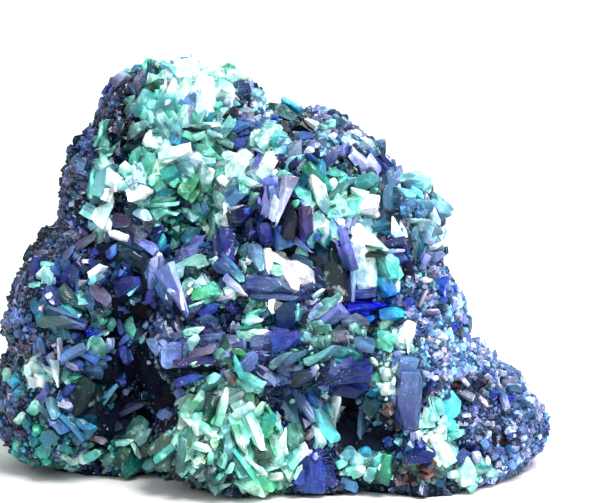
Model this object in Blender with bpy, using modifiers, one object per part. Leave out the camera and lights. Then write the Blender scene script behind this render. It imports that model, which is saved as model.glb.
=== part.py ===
"""Azurite specimen: one craggy lump of intergrown azurite and malachite crystals, 55 mm wide.

Run with blender --background --python part.py, or from the text editor. Metres, +Z up. The origin is on
the flat broken base, near its middle. +X runs along the lump towards its low knob, and the face lined with
blades looks along -Y. Everything is one solid: the crystals grew out of the lump, so a Boolean union joins
them to it.
"""

import math

import bmesh
import bpy
import numpy as np
from mathutils import Matrix, Vector
from mathutils.bvhtree import BVHTree

NAME = "azurite_specimen"
MM = 0.001  # the tables below are in millimetres

# The lump without its crystals, as overlapping ellipsoids: centre, radii.
LOBES = {
    "foot": ((1.5, 0.0, 3.0), (14.0, 13.6, 7.0)),
    "left_foot": ((-16.0, 4.0, 3.5), (9.0, 9.0, 6.0)),
    "right_foot": ((12.5, -1.0, 3.0), (10.5, 13.0, 6.0)),
    "heart": ((-1.0, 0.0, 14.0), (14.0, 13.0, 12.0)),
    "peak": ((-9.8, 1.5, 32.4), (7.6, 8.5, 7.6)),
    "peak_left": ((-14.2, 1.5, 33.6), (3.4, 6.0, 4.6)),
    "peak_right": ((-5.4, 1.0, 32.6), (4.2, 7.5, 6.4)),
    "peak_flank": ((-14.0, 2.0, 26.6), (7.0, 9.5, 8.0)),
    "saddle": ((-1.0, 1.5, 27.6), (6.6, 10.0, 7.8)),
    "dome": ((3.4, 1.0, 24.6), (10.0, 12.0, 10.0)),
    "dome_shoulder": ((9.4, 1.5, 20.6), (6.8, 11.5, 8.8)),
    "right_wall": ((12.4, 1.0, 12.5), (5.9, 12.5, 9.0)),
    "right_neck": ((17.4, 1.5, 7.0), (5.2, 10.0, 5.2)),
    "right_knob": ((21.6, 1.0, 4.4), (5.5, 9.0, 5.0)),
    "left_shoulder": ((-15.6, 1.5, 19.6), (6.2, 11.0, 7.0)),
    "left_wall": ((-19.2, 2.0, 14.8), (7.1, 11.0, 8.6)),
    "left_crest": ((-21.2, 2.0, 19.6), (3.6, 6.5, 3.8)),
    "left_cheek": ((-21.0, 1.0, 7.0), (6.6, 9.5, 6.2)),
    "front_ledge": ((-0.5, -11.0, 13.0), (11.5, 4.5, 2.6)),
    "front_boss": ((-4.2, -10.5, 5.0), (6.4, 6.0, 4.6)),
    "right_slab": ((12.0, -8.5, 8.5), (4.0, 5.0, 6.0)),
    "rear_bulge": ((4.0, 10.0, 9.0), (12.0, 5.5, 8.0)),
    "rear_rib": ((-8.5, 10.0, 15.0), (4.6, 4.4, 12.0)),
    "rear_knob": ((7.0, 11.0, 22.0), (4.8, 3.6, 4.4)),
    "rear_step": ((-17.0, 10.5, 8.0), (5.5, 3.6, 4.6)),
    "rear_scarp": ((-1.0, 12.0, 24.0), (3.2, 3.4, 6.0)),
    "rear_peak": ((-11.0, 8.0, 30.5), (4.0, 4.0, 3.4)),
    "rear_ledge": ((10.5, 12.0, 13.5), (6.5, 3.2, 2.8)),
    "rear_toe": ((1.0, 14.5, 4.5), (5.0, 3.0, 4.0)),
    "right_rib": ((17.2, 3.0, 16.5), (2.6, 4.5, 4.5)),
}
# Vugs, as ellipsoids cut from the lump: centre, radii.
HOLLOWS = {
    "left_vug": ((-12.6, -12.0, 9.4), (2.6, 6.0, 4.4)),
    "cheek_vug": ((-19.0, -9.8, 16.6), (2.4, 2.6, 3.6)),
    "right_vug": ((7.4, -13.5, 7.4), (2.6, 4.0, 2.2)),
    "knob_vug": ((22.0, -7.8, 4.0), (1.5, 2.4, 1.8)),
    "rear_vug": ((1.2, 16.0, 17.5), (2.4, 3.0, 3.4)),
}
VOXEL = 0.7  # fineness of the fused lump
CRAGS = (5.0, 2.4)  # width and height of its broken blocks
GRAIN = (2.4, 0.9)  # width and height of its smaller lumps
LUMP_SHARE = 0.037  # share of the fused lump's triangles that are kept

# The front view that the crystals below are placed in looks down by this much, along +Y.
VIEW_TILT = math.radians(7)
# Crystals that stand out on the front: habit, (across, up) of the middle, clockwise roll from upright, rise
# towards the viewer and twist about the crystal's own length in degrees, (length, width, thickness).
BLADES = {
    "lilac_beam": ("blade", (-13.0, 22.8), 119, 20, 20, (4.0, 1.3, 1.2)),
    "sky_lens": ("lozenge", (-12.1, 19.9), 170, 10, -10, (3.0, 1.6, 1.0)),
    "violet_dagger": ("dagger", (-10.4, 17.3), 152, 14, 15, (5.0, 2.3, 1.5)),
    "olive_blade": ("blade", (-8.7, 20.0), 59, 18, -25, (4.0, 1.5, 1.2)),
    "violet_slab": ("slab", (-8.3, 21.6), 55, 20, 25, (3.2, 1.7, 1.2)),
    "striped_blade": ("blade", (-4.7, 19.0), 142, 14, 30, (4.4, 1.6, 1.4)),
    "grey_plate": ("slab", (-2.2, 20.6), 4, 12, 10, (3.0, 1.9, 1.2)),
    "white_plate": ("slab", (1.1, 19.4), 129, 10, -12, (5.8, 2.6, 1.5)),
    "purple_under": ("blade", (-0.7, 18.3), 100, 18, 25, (3.8, 1.7, 1.3)),
    "split_blade": ("blade", (4.1, 15.5), 57, 14, 40, (5.9, 2.3, 2.0)),
    "tall_dark_blade": ("slab", (5.8, 20.0), 8, 10, 35, (6.0, 2.4, 1.6)),
    "tall_pale_blade": ("blade", (8.7, 20.8), 176, 12, -8, (6.8, 2.7, 1.5)),
    "white_wing": ("dagger", (9.9, 22.8), 125, 24, 10, (3.0, 1.6, 1.1)),
    "teal_slab": ("slab", (11.0, 19.2), 170, 12, 20, (4.6, 2.3, 1.6)),
    "flash_blade": ("blade", (9.8, 16.0), 96, 20, -15, (4.4, 1.3, 1.2)),
    "white_teardrop": ("dagger", (13.0, 13.2), 186, 26, 0, (3.1, 1.4, 1.2)),
    "lilac_flag": ("dagger", (1.0, 26.6), 208, 12, -15, (5.2, 2.3, 1.3)),
    "navy_dome": ("slab", (-3.3, 25.1), 112, 18, -20, (3.2, 2.1, 1.6)),
    "indigo_shard": ("blade", (2.8, 24.4), 175, 14, -30, (3.6, 1.7, 1.2)),
    "pale_leaf": ("lozenge", (3.7, 27.6), 150, 14, 10, (4.3, 1.8, 1.0)),
    "teal_belt": ("slab", (4.2, 29.1), 118, 22, 15, (3.6, 1.9, 1.4)),
    "white_block": ("slab", (-0.8, 30.3), 20, 28, 10, (2.4, 2.0, 1.5)),
    "wide_block": ("slab", (-3.5, 30.3), 75, 22, -8, (2.9, 2.2, 1.5)),
    "teal_patch": ("slab", (9.1, 28.0), 30, 24, -10, (2.6, 2.2, 1.4)),
    "white_patch": ("slab", (8.3, 26.3), 80, 20, 5, (3.6, 2.3, 1.4)),
    "royal_blade": ("blade", (-4.1, 34.1), 70, 20, 12, (3.0, 1.3, 1.1)),
    "teal_corner": ("dagger", (-6.2, 35.5), 20, 22, 15, (2.6, 1.8, 1.3)),
    "cyan_post": ("blade", (-22.9, 19.1), 4, 18, 10, (3.1, 1.5, 1.2)),
    "blue_arc": ("lozenge", (-20.6, 18.9), 12, 14, 15, (3.2, 1.6, 1.1)),
    "green_leaf": ("lozenge", (-19.8, 16.2), 105, 12, 8, (3.8, 2.1, 1.1)),
    "grey_leaf": ("lozenge", (-21.4, 14.7), 115, 14, -8, (4.4, 2.2, 1.2)),
    "dark_slab": ("slab", (-15.0, 20.7), 112, 14, 22, (3.9, 2.6, 1.5)),
    "emerald_blade": ("blade", (-14.9, 13.6), 165, 18, -15, (3.1, 1.7, 1.3)),
    "indigo_sprig": ("blade", (-19.7, 11.6), 108, 16, 12, (4.0, 1.5, 1.2)),
    "cyan_corner": ("dagger", (-22.0, 9.2), 180, 18, 5, (2.7, 2.1, 1.4)),
    "twin_needle": ("blade", (-20.4, 3.8), 128, 14, 10, (3.5, 0.9, 0.9)),
    "mint_cube": ("slab", (-13.7, 3.6), 20, 30, 20, (2.5, 2.2, 1.8)),
    "mint_cube_low": ("slab", (-15.2, 1.5), 60, 30, -15, (2.6, 2.3, 1.8)),
    "ledge_top": ("blade", (-3.4, 12.3), 84, 10, 25, (11.0, 2.0, 1.8)),
    "ledge_middle": ("blade", (-6.0, 10.9), 80, 14, -20, (9.0, 2.2, 1.9)),
    "ledge_low": ("blade", (-4.5, 9.9), 97, 12, 30, (7.6, 1.5, 1.5)),
    "violet_block": ("slab", (4.2, 11.2), 78, 16, 12, (6.2, 3.0, 2.0)),
    "grey_ridge": ("slab", (5.6, 13.3), 96, 14, -14, (7.0, 2.4, 1.8)),
    "violet_plate": ("slab", (8.1, 9.4), 80, 20, 16, (3.9, 2.7, 1.6)),
    "violet_tower": ("slab", (12.9, 6.8), 6, 12, -10, (7.4, 3.3, 2.2)),
    "cyan_stem": ("blade", (4.2, 5.0), 148, 14, 15, (7.0, 1.2, 1.1)),
    "icicle": ("dagger", (8.5, 3.9), 180, 14, 20, (3.6, 1.2, 1.0)),
    "emerald_face": ("slab", (10.9, 0.1), 15, 22, 10, (2.8, 2.3, 1.6)),
    "navy_pillow": ("slab", (14.2, 1.2), 88, 20, -10, (2.9, 1.7, 1.5)),
    "white_slab": ("slab", (16.2, 1.4), 160, 18, 10, (3.2, 1.6, 1.3)),
    "turquoise_boss": ("slab", (16.5, 5.4), 150, 22, -12, (3.6, 3.0, 1.8)),
    "indigo_wedge": ("dagger", (3.6, 0.0), 0, 16, 20, (3.6, 2.5, 1.8)),
}
# Malachite plates on edge, which fan out over the front boss: (across, up), roll, (length, width,
# thickness), all with one rise and twist.
FAN_RISE = 25
FAN_TWIST = 82
FAN = {
    "fan_a": ((-7.7, 3.4), 205, (3.0, 2.2, 0.9)),
    "fan_b": ((-6.3, 4.0), 195, (3.0, 2.2, 0.9)),
    "fan_c": ((-5.4, 6.0), 188, (2.9, 2.0, 1.0)),
    "fan_d": ((-3.6, 3.0), 170, (3.0, 2.4, 1.1)),
    "fan_e": ((-2.1, 3.7), 160, (3.3, 2.4, 1.1)),
    "fan_f": ((-2.6, 0.4), 150, (3.2, 2.2, 1.0)),
    "fan_g": ((0.2, 2.0), 172, (3.6, 2.2, 1.0)),
    "fan_h": ((-0.7, -0.2), 158, (2.8, 2.2, 1.2)),
}
# Scattered crystals: habit, how many, closest spacing, shortest and longest, width and thickness as shares
# of the length, how far they lean from standing straight out, and the share of the length in the lump.
CRUSTS = {
    "front": ("blade", 64, 2.7, (2.6, 4.0), (0.48, 0.36), 0.65, 0.38),
    "peak": ("slab", 20, 2.0, (1.9, 2.8), (0.62, 0.40), 0.55, 0.42),
    "rind": ("slab", 86, 3.6, (1.9, 2.9), (0.80, 0.62), 0.35, 0.52),
}
TRIES = 6000  # random places tried for them
LOWEST_SEAT = 0.5  # above the base
SEED = 20


def cut(bm, point, normal):
    """Cuts away what lies beyond a plane and closes the cut, which is how every crystal face is made."""
    geometry = bm.verts[:] + bm.edges[:] + bm.faces[:]
    made = bmesh.ops.bisect_plane(
        bm, geom=geometry, plane_co=point, plane_no=normal, clear_outer=True, dist=1e-6
    )
    rim = [e for e in made["geom_cut"] if isinstance(e, bmesh.types.BMEdge)]
    bmesh.ops.contextual_create(bm, geom=rim)


def mesh_from(bm, name):
    mesh = bpy.data.meshes.new(name)
    bm.to_mesh(mesh)
    bm.free()
    return mesh


def habit(name, *faces):
    """A crystal 1 long, wide and thick, from z 0 to 1: a box with faces cut by (point, normal) planes."""
    bm = bmesh.new()
    bmesh.ops.create_cube(bm, size=1.0, matrix=Matrix.Translation((0, 0, 0.5)))
    for point, normal in faces:
        cut(bm, point, normal)
    return mesh_from(bm, name)


def habits():
    """A blade with a wedge tip, a tapered dagger, a lozenge plate and a blunt slab."""
    return {
        "blade": habit("blade", ((0.1, 0, 1), (0.75, 0.3, 1)), ((0.1, 0, 1), (-0.45, -0.2, 1))),
        "dagger": habit("dagger", ((0, 0, 1), (1, 0, 0.55)), ((0, 0, 1), (-1, -0.1, 0.42))),
        "lozenge": habit(
            "lozenge",
            ((0.05, 0, 1), (1, 0.1, 0.75)),
            ((0.05, 0, 1), (-1, 0.1, 0.95)),
            ((-0.5, 0, 0.3), (-1, 0.1, -1.1)),
        ),
        "slab": habit("slab", ((0.28, 0, 1), (1, 0.35, 0.8)), ((0, 0, 0.96), (-0.22, -0.3, 1))),
    }


def ellipsoids(table, name):
    """One mesh of a table's ellipsoids, which overlap."""
    bm = bmesh.new()
    for centre, radii in table.values():
        place = Matrix.LocRotScale(Vector(centre) * MM, None, Vector(radii) * MM)
        bmesh.ops.create_icosphere(bm, subdivisions=4, radius=1.0, matrix=place)
    return mesh_from(bm, name)


def add_helper(name, mesh, collection):
    """An object that only cuts or joins, and isn't built itself."""
    helper = bpy.data.objects.new(name, mesh)
    helper.hide_render = True
    helper.display_type = "WIRE"
    collection.objects.link(helper)
    return helper


def add_fuse(lump):
    fuse = lump.modifiers.new("fuse", "REMESH")
    fuse.mode = "VOXEL"
    fuse.voxel_size = VOXEL * MM


def add_relief(lump, pattern, width, height):
    texture = bpy.data.textures.new(pattern.lower(), pattern)
    texture.noise_scale = width * MM
    relief = lump.modifiers.new(texture.name, "DISPLACE")
    relief.texture = texture
    relief.strength = height * MM
    relief.mid_level = 0.5


def bake_modifiers(obj):
    """Replaces the object's mesh by the one that its modifiers make."""
    graph = bpy.context.evaluated_depsgraph_get()
    mesh = bpy.data.meshes.new_from_object(obj.evaluated_get(graph))
    obj.modifiers.clear()
    obj.data = mesh


def make_lump(specimen, cutters):
    """The bare lump: the lobes less the vugs, fused, broken up by two textures and thinned to flat facets."""
    lump = bpy.data.objects.new(NAME, ellipsoids(LOBES, NAME))
    specimen.objects.link(lump)
    add_fuse(lump)
    hollow = lump.modifiers.new("hollow", "BOOLEAN")
    hollow.operation = "DIFFERENCE"
    hollow.object = add_helper("vug_cutter", ellipsoids(HOLLOWS, "vugs"), cutters)
    add_relief(lump, "VORONOI", *CRAGS)
    add_relief(lump, "CLOUDS", *GRAIN)
    thin = lump.modifiers.new("thin", "DECIMATE")
    thin.ratio = LUMP_SHARE
    bake_modifiers(lump)
    return lump


def standing(axis, broad, base, size):
    """The matrix of a crystal that runs along axis from base, with its broad face looking along broad."""
    length = axis.normalized()
    across = broad.cross(length).normalized()
    turn = Matrix((across, length.cross(across), length)).transposed().to_4x4()
    scale = Matrix.Diagonal((size[1], size[2], size[0], 1 / MM)) * MM
    return Matrix.Translation(base * MM) @ turn @ scale


def front_point(tree, across, up):
    """Where a line of sight of the front view meets the lump."""
    sight = Vector((0, math.cos(VIEW_TILT), -math.sin(VIEW_TILT)))
    start = Vector((across, 0, up)) - sight * 60
    return tree.ray_cast(start * MM, sight)[0] / MM


def placed_crystals(tree):
    """(habit, matrix, seat) of each crystal of the two tables."""
    fan = [("slab", middle, roll, FAN_RISE, FAN_TWIST, size) for middle, roll, size in FAN.values()]
    for form, middle, roll, rise, twist, size in [*BLADES.values(), *fan]:
        roll, rise, twist = map(math.radians, (roll, rise, twist))
        out = math.cos(rise)
        axis = Vector((math.sin(roll) * out, -math.sin(rise), math.cos(roll) * out))
        broad = Matrix.Rotation(twist, 3, axis) @ Vector((0, -1, 0))
        seat = front_point(tree, *middle)
        yield form, standing(axis, broad, seat - axis * size[0] / 2, size), seat


def crust_at(point, normal):
    """Which crust grows there: on the malachite peak, the bladed front or the rind round the rest."""
    if normal.y > -0.35:
        return "rind"
    return "peak" if point.z > 31 and point.x < -2 else "front"


def skin_points(mesh, rng, count):
    """Random points of the mesh in millimetres with their normals, spread evenly by area."""
    mesh.calc_loop_triangles()
    faces = mesh.loop_triangles
    areas = np.array([face.area for face in faces])
    for k in rng.choice(len(faces), count, p=areas / areas.sum()):
        corners = [mesh.vertices[v].co / MM for v in faces[k].vertices]
        a, b, c = rng.dirichlet((1, 1, 1))
        yield corners[0] * a + corners[1] * b + corners[2] * c, faces[k].normal


def scattered_crystals(mesh, seats):
    """(habit, matrix) of each crystal of the crusts, clear of the seats of the placed ones."""
    rng = np.random.default_rng(SEED)
    wanted = {name: row[1] for name, row in CRUSTS.items()}
    for point, normal in skin_points(mesh, rng, TRIES):
        name = crust_at(point, normal)
        form, _, spacing, lengths, shares, lean, buried = CRUSTS[name]
        crowded = min((point - seat).length for seat in seats) < spacing
        if crowded or not wanted[name] or point.z < LOWEST_SEAT:
            continue
        wanted[name] -= 1
        seats.append(point)
        length = rng.uniform(*lengths)
        axis = (normal + Vector(rng.normal(size=3)) * lean).normalized()
        broad = normal + Vector(rng.normal(size=3)) * 0.4
        size = (length, length * shares[0], length * shares[1])
        yield form, standing(axis, broad, point - axis * length * buried, size)


def grow_crystals(lump, collection):
    """Joins every crystal to the lump."""
    forms = habits()
    tree = BVHTree.FromObject(lump, bpy.context.evaluated_depsgraph_get())
    seats = []
    for form, matrix, seat in placed_crystals(tree):
        seats.append(seat)
        add_helper("placed_" + form, forms[form], collection).matrix_world = matrix
    for form, matrix in scattered_crystals(lump.data, seats):
        add_helper("crust_" + form, forms[form], collection).matrix_world = matrix
    grow = lump.modifiers.new("grow", "BOOLEAN")
    grow.operation = "UNION"
    grow.operand_type = "COLLECTION"
    grow.collection = collection
    bake_modifiers(lump)


def drop_pockets(bm):
    """Removes the skins of pockets sealed in between crystals: all that isn't linked to the topmost point."""
    outer = {max(bm.verts, key=lambda vert: vert.co.z)}
    edge_of_search = set(outer)
    while edge_of_search:
        edge_of_search = {e.other_vert(v) for v in edge_of_search for e in v.link_edges} - outer
        outer |= edge_of_search
    bmesh.ops.delete(bm, geom=[v for v in bm.verts if v not in outer], context="VERTS")


def cut_base_flat(lump):
    """Cuts the solid off at z 0, the broken face that it rests on, and leaves only its outer skin."""
    bm = bmesh.new()
    bm.from_mesh(lump.data)
    cut(bm, (0, 0, 0), (0, 0, -1))
    drop_pockets(bm)
    bmesh.ops.triangulate(bm, faces=bm.faces)
    bm.to_mesh(lump.data)
    bm.free()


def stone():
    material = bpy.data.materials.new("azurite")
    material.use_nodes = True
    shader = material.node_tree.nodes["Principled BSDF"]
    shader.inputs["Base Color"].default_value = (0.05, 0.08, 0.32, 1.0)
    shader.inputs["Roughness"].default_value = 0.3
    shader.inputs["Metallic"].default_value = 0.0
    return material


def main():
    for old in list(bpy.data.objects):
        bpy.data.objects.remove(old)
    specimen, cutters, crystals = (
        bpy.data.collections.new(name) for name in ("azurite specimen", "vug cutters", "crystals to join")
    )
    for collection in (specimen, cutters, crystals):
        bpy.context.scene.collection.children.link(collection)
    lump = make_lump(specimen, cutters)
    grow_crystals(lump, crystals)
    cut_base_flat(lump)
    lump.data.materials.clear()
    lump.data.materials.append(stone())


main()
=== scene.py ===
"""Azurite specimen: a craggy lump of intergrown azurite and malachite crystals, dressed for display.

Metres, +Z up, in the frame of the packed solid. The lump, its placed blades, the crusts of smaller crystals
and the stage are each made by an operator. main() runs them in order.
"""

import math

import bmesh
import bpy
import numpy as np
from bpy.props import FloatProperty, FloatVectorProperty, IntProperty, PointerProperty
from mathutils import Matrix, Vector, noise
from mathutils.bvhtree import BVHTree


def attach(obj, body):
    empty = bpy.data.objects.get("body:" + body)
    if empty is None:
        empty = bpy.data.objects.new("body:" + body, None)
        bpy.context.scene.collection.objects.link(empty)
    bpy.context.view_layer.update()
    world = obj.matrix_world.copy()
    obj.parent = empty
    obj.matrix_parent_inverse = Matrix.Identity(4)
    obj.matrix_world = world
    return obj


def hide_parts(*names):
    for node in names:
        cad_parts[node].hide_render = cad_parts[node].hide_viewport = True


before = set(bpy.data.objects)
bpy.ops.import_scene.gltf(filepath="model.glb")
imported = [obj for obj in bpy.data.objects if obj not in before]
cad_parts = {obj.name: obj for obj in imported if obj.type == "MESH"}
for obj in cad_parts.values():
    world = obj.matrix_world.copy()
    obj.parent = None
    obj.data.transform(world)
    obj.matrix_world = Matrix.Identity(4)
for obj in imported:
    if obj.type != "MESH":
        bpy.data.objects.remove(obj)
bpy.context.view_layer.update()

bl_info = {
    "name": "Azurite specimen",
    "version": (1, 0, 0),
    "blender": (4, 5, 0),
    "location": "3D View > Sidebar > Specimen",
    "description": "Grows an azurite and malachite specimen over its solid",
    "category": "Object",
}

MM = 0.001  # the tables below are in millimetres
NODE = "azurite_specimen"
LUMP = "matrix_lump"

# The viewpoint that the front of the specimen is laid out from: it looks down by VIEW_TILT, along +Y.
VIEW_TILT = math.radians(7)
VIEW_DISTANCE = 260.0
VIEW_CENTRE = (2.2, 21.65)
VIEW_WIDTH = 60.0
SIGHT = Vector((0, math.cos(VIEW_TILT), -math.sin(VIEW_TILT)))
RISE = Vector((0, math.sin(VIEW_TILT), math.cos(VIEW_TILT)))
EYE = Vector((VIEW_CENTRE[0], 0, 0)) + RISE * VIEW_CENTRE[1] - SIGHT * VIEW_DISTANCE

# Colours of the minerals: sRGB in hexadecimal, and what they are seen on.
COLOURS = {
    "navy_black": ("090F1E", "azurite in deep shade"),
    "navy": ("10225C", "dark azurite"),
    "royal": ("2846A2", "clean azurite faces"),
    "ultramarine": ("0812BC", "azurite with light passing through it"),
    "cerulean": ("0A64C2", "azurite edges with light passing through them"),
    "bright_cyan": ("3CC8FF", "the thinnest lit azurite edges"),
    "violet": ("2C2E76", "violet azurite"),
    "lavender": ("7A84D2", "azurite faces that mirror the sky"),
    # lilac: azurite with a painted reflection of the bright sky on it
    "lilac": ("B4C0EE", "pale azurite blades"),
    "indigo": ("18236A", "deep indigo plates"),
    "heather": ("5E70A6", "dusty violet plates"),
    "taupe": ("72748E", "dusty grey plates"),
    "grey_violet": ("465A82", "weathered azurite"),
    "slate_violet": ("26345A", "azurite druse"),
    "plum": ("3E3452", "dusty azurite druse"),
    # rose_grey: partly frost on the druse and partly painted highlight on its faces
    "rose_grey": ("BEB4CD", "frosted faces in the druse"),
    "mauve": ("54609C", "long mauve blades"),
    "steel": ("386498", "steel-blue blades"),
    "grey_blue": ("466A94", "frosted azurite druse"),
    "dark_teal": ("0A3850", "azurite turning to malachite, in shade"),
    "teal": ("1E7C96", "azurite turning to malachite"),
    "grey_teal": ("426C80", "dusty teal slabs"),
    "turquoise": ("54E0E4", "turquoise crusts"),
    "pale_cyan": ("8CDEEC", "pale cyan blades"),
    "deep_green": ("083432", "malachite in shade"),
    "emerald": ("066040", "clean malachite"),
    "bright_green": ("3CAA74", "sunlit malachite"),
    "sea_green": ("28A094", "malachite with a blue cast"),
    "sage": ("64A6A0", "dusty malachite"),
    "olive": ("365C4E", "malachite on iron stain"),
    "mint": ("7CE6D0", "fine malachite"),
    "pale_mint": ("C4FCF4", "silky malachite"),
    # white_mint and white: partly the pale colour of malachite and frosted plates, partly painted highlight
    # where faces would mirror the lamps
    "white_mint": ("ECFFFC", "the palest malachite tips"),
    "white": ("FFFFFF", "frosted plates"),
    "limonite": ("6C4A3A", "iron-stained matrix"),
}
MALACHITE = (
    "deep_green emerald bright_green sea_green sage olive mint pale_mint white_mint pale_cyan turquoise"
).split()
# Mixtures of them, each name as often as it counts.
MIXES = {
    "pale": "white_mint pale_mint pale_mint mint pale_mint sage white_mint pale_cyan",
    "mint": "mint mint pale_mint teal pale_mint sea_green sage white_mint",
    "bright_mint": "mint bright_green pale_mint mint white_mint mint emerald",
    "emerald": "emerald sea_green teal sea_green deep_green mint teal",
    "teal": "teal sea_green dark_teal teal grey_teal mint",
    "dark_teal": "dark_teal dark_teal teal navy",
    "sage": "sage sage grey_teal pale_mint olive sea_green",
    "sage_mint": "sage mint pale_mint sea_green",
    "olive": "olive olive deep_green sage dark_teal",
    "deep_green": "deep_green deep_green dark_teal navy_black emerald",
    "rim": "plum navy_black slate_violet plum navy_black taupe navy_black heather indigo grey_violet",
    "slate": "slate_violet grey_violet steel grey_blue heather grey_teal",
    "royal": "royal violet steel indigo navy",
    "ultramarine": "ultramarine royal royal cerulean",
    "cerulean": "cerulean teal royal bright_cyan",
    "bright_cyan": "bright_cyan cerulean pale_cyan ultramarine",
    "navy": "navy navy navy_black dark_teal slate_violet",
    "navy_royal": "navy violet grey_blue navy slate_violet steel dark_teal",
    "violet": "violet violet lavender steel slate_violet grey_blue",
    "lavender": "lavender lilac violet grey_blue pale_cyan",
    "mauve": "mauve grey_violet heather violet grey_blue",
    "steel": "steel steel grey_blue lavender grey_teal",
    "grey_teal": "grey_teal grey_teal teal grey_blue dark_teal",
    "black": "navy_black navy_black navy dark_teal navy_black",
    "pale_cyan": "pale_cyan pale_mint turquoise white_mint steel lilac grey_teal pale_cyan",
    "turquoise": "turquoise turquoise pale_cyan teal cerulean",
    "silver": "grey_blue lilac grey_teal heather lilac pale_cyan heather rose_grey slate_violet pale_cyan",
    "sparkle": (
        "grey_blue heather steel pale_cyan slate_violet lavender lilac grey_blue rose_grey grey_teal navy"
    ),
    "knob": (
        "grey_blue slate_violet heather grey_violet violet steel lilac grey_blue taupe navy_black lavender"
    ),
    "limonite": "limonite limonite olive slate_violet",
    "botryoidal": "teal steel emerald sea_green grey_blue grey_teal sage",
    "ground": "navy violet grey_blue slate_violet dark_teal navy_black grey_violet teal",
}
# How crystals grow: forms, shortest and longest, width and thickness as shares of the length, how far they
# lean from standing straight out, share of the length that is buried, and share of the places that hold one,
# for the large crystals and for the finer ones.
STYLES = {
    "blade": (("blade", "dagger", "slab"), (1.4, 2.5), (0.74, 0.46), 0.70, 0.44, (0.95, 0.8)),
    "leaf": (("lozenge", "leaf", "blade", "petal"), (1.4, 2.4), (0.78, 0.46), 0.72, 0.44, (0.95, 0.8)),
    "silk": (("lozenge", "slab", "petal"), (1.6, 3.0), (0.72, 0.5), 0.75, 0.55, (1.0, 0.8)),
    "block": (("block", "slab"), (0.9, 1.7), (0.80, 0.62), 0.50, 0.40, (0.9, 1.0)),
    "druse": (("block", "dagger", "lozenge"), (0.75, 1.35), (0.85, 0.75), 0.5, 0.5, (0.95, 1.0)),
    "lamella": (("lamella",), (1.3, 2.2), (0.70, 0.24), 0.75, 0.42, (0.6, 1.0)),
    "ball": (("ball",), (0.9, 1.6), (1.0, 1.0), 0.20, 0.60, (1.0, 1.0)),
    "hollow": (("block", "dagger"), (0.7, 1.4), (0.60, 0.50), 0.50, 0.50, (0.3, 0.15)),
}
# The broad crystals that lie under the placed ones: for each style their form, how many there are to a square
# millimetre of a zone's half width by half height, and how far they stand behind.
BEDDED = {
    "silk": ("lozenge", 0.62, -0.4),
    "leaf": ("lozenge", 0.62, -0.4),
    "blade": ("slab", 0.4, -0.7),
    "lamella": ("petal", 0.9, -0.4),
}
# Tiers of the crust: closest spacing, size beside the style's, and how bright its azurite is: painted shade
# that darkens the finer crystals down in the gaps.
TIERS = {"crust": (1.15, 1.0, 1.0), "grain": (0.66, 0.52, 0.6), "dust": (0.40, 0.27, 0.38)}

# The lump without its crystals, as overlapping ellipsoids: centre, radii.
LOBES = {
    "foot": ((1.5, 0, 3), (14, 13.6, 7)),
    "left_foot": ((-16, 4, 3.5), (9, 9, 6)),
    "right_foot": ((12.5, -1, 3), (10.5, 13, 6)),
    "heart": ((-1, 0, 14), (14, 13, 12)),
    "peak": ((-9.8, 1.5, 32.4), (7.6, 8.5, 7.6)),
    "peak_left": ((-14.2, 1.5, 33.6), (3.4, 6, 4.6)),
    "peak_right": ((-5.4, 1, 32.6), (4.2, 7.5, 6.4)),
    "peak_flank": ((-14, 2, 26.6), (7, 9.5, 8)),
    "saddle": ((-1, 1.5, 27.6), (6.6, 10, 7.8)),
    "dome": ((2.6, 1, 24.6), (9.1, 12, 10)),
    "dome_shoulder": ((9.2, 1.5, 20.6), (6.3, 11.5, 8.6)),
    "right_wall": ((12.4, 1, 12.5), (5.9, 12.5, 9)),
    "right_neck": ((17.4, 1.5, 7), (5.2, 10, 5.2)),
    "right_knob": ((21.2, 1, 4.3), (5, 9, 4.8)),
    "left_shoulder": ((-15.6, 1.5, 19.6), (6.2, 11, 7)),
    "left_wall": ((-19.2, 2, 14.8), (7.1, 11, 8.6)),
    "left_crest": ((-21.2, 2, 19.6), (3.6, 6.5, 3.8)),
    "left_cheek": ((-21, 1, 7), (6.6, 9.5, 6.2)),
    "front_ledge": ((-0.5, -11, 13), (11.5, 4.5, 2.6)),
    "front_boss": ((-4.2, -10.5, 5), (6.4, 6, 4.6)),
    "right_slab": ((12, -8.5, 8.5), (4, 5, 6)),
    "rear_bulge": ((4, 10, 9), (12, 5.5, 8)),
    "rear_rib": ((-8.5, 10, 15), (4.6, 4.4, 12)),
    "rear_knob": ((7, 11, 22), (4.8, 3.6, 4.4)),
    "rear_step": ((-17, 10.5, 8), (5.5, 3.6, 4.6)),
    "rear_scarp": ((-1, 12, 24), (3.2, 3.4, 6)),
    "rear_peak": ((-11, 8, 30.5), (4, 4, 3.4)),
    "rear_ledge": ((10.5, 12, 13.5), (6.5, 3.2, 2.8)),
    "rear_toe": ((1, 14.5, 4.5), (5, 3, 4)),
    "right_rib": ((15.6, 3, 15), (2, 4.5, 4)),
}
# Vugs, as ellipsoids cut from the lump: centre, radii.
HOLLOWS = {
    "left_vug": ((-12.6, -12, 9.4), (2.6, 6, 4.4)),
    "cheek_vug": ((-19, -9.8, 16.6), (2.4, 2.6, 3.6)),
    "right_vug": ((7.4, -13.5, 7.4), (2.6, 4, 2.2)),
    "knob_vug": ((22, -7.8, 4), (1.5, 2.4, 1.8)),
    "rear_vug": ((1.2, 16, 17.5), (2.4, 3, 3.4)),
}
# Width and height of the lump's broken blocks, smaller lumps and grit.
RELIEFS = {"VORONOI": (5.0, 2.4), "CLOUDS": (2.4, 0.9), "STUCCI": (0.9, 0.35)}

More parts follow.
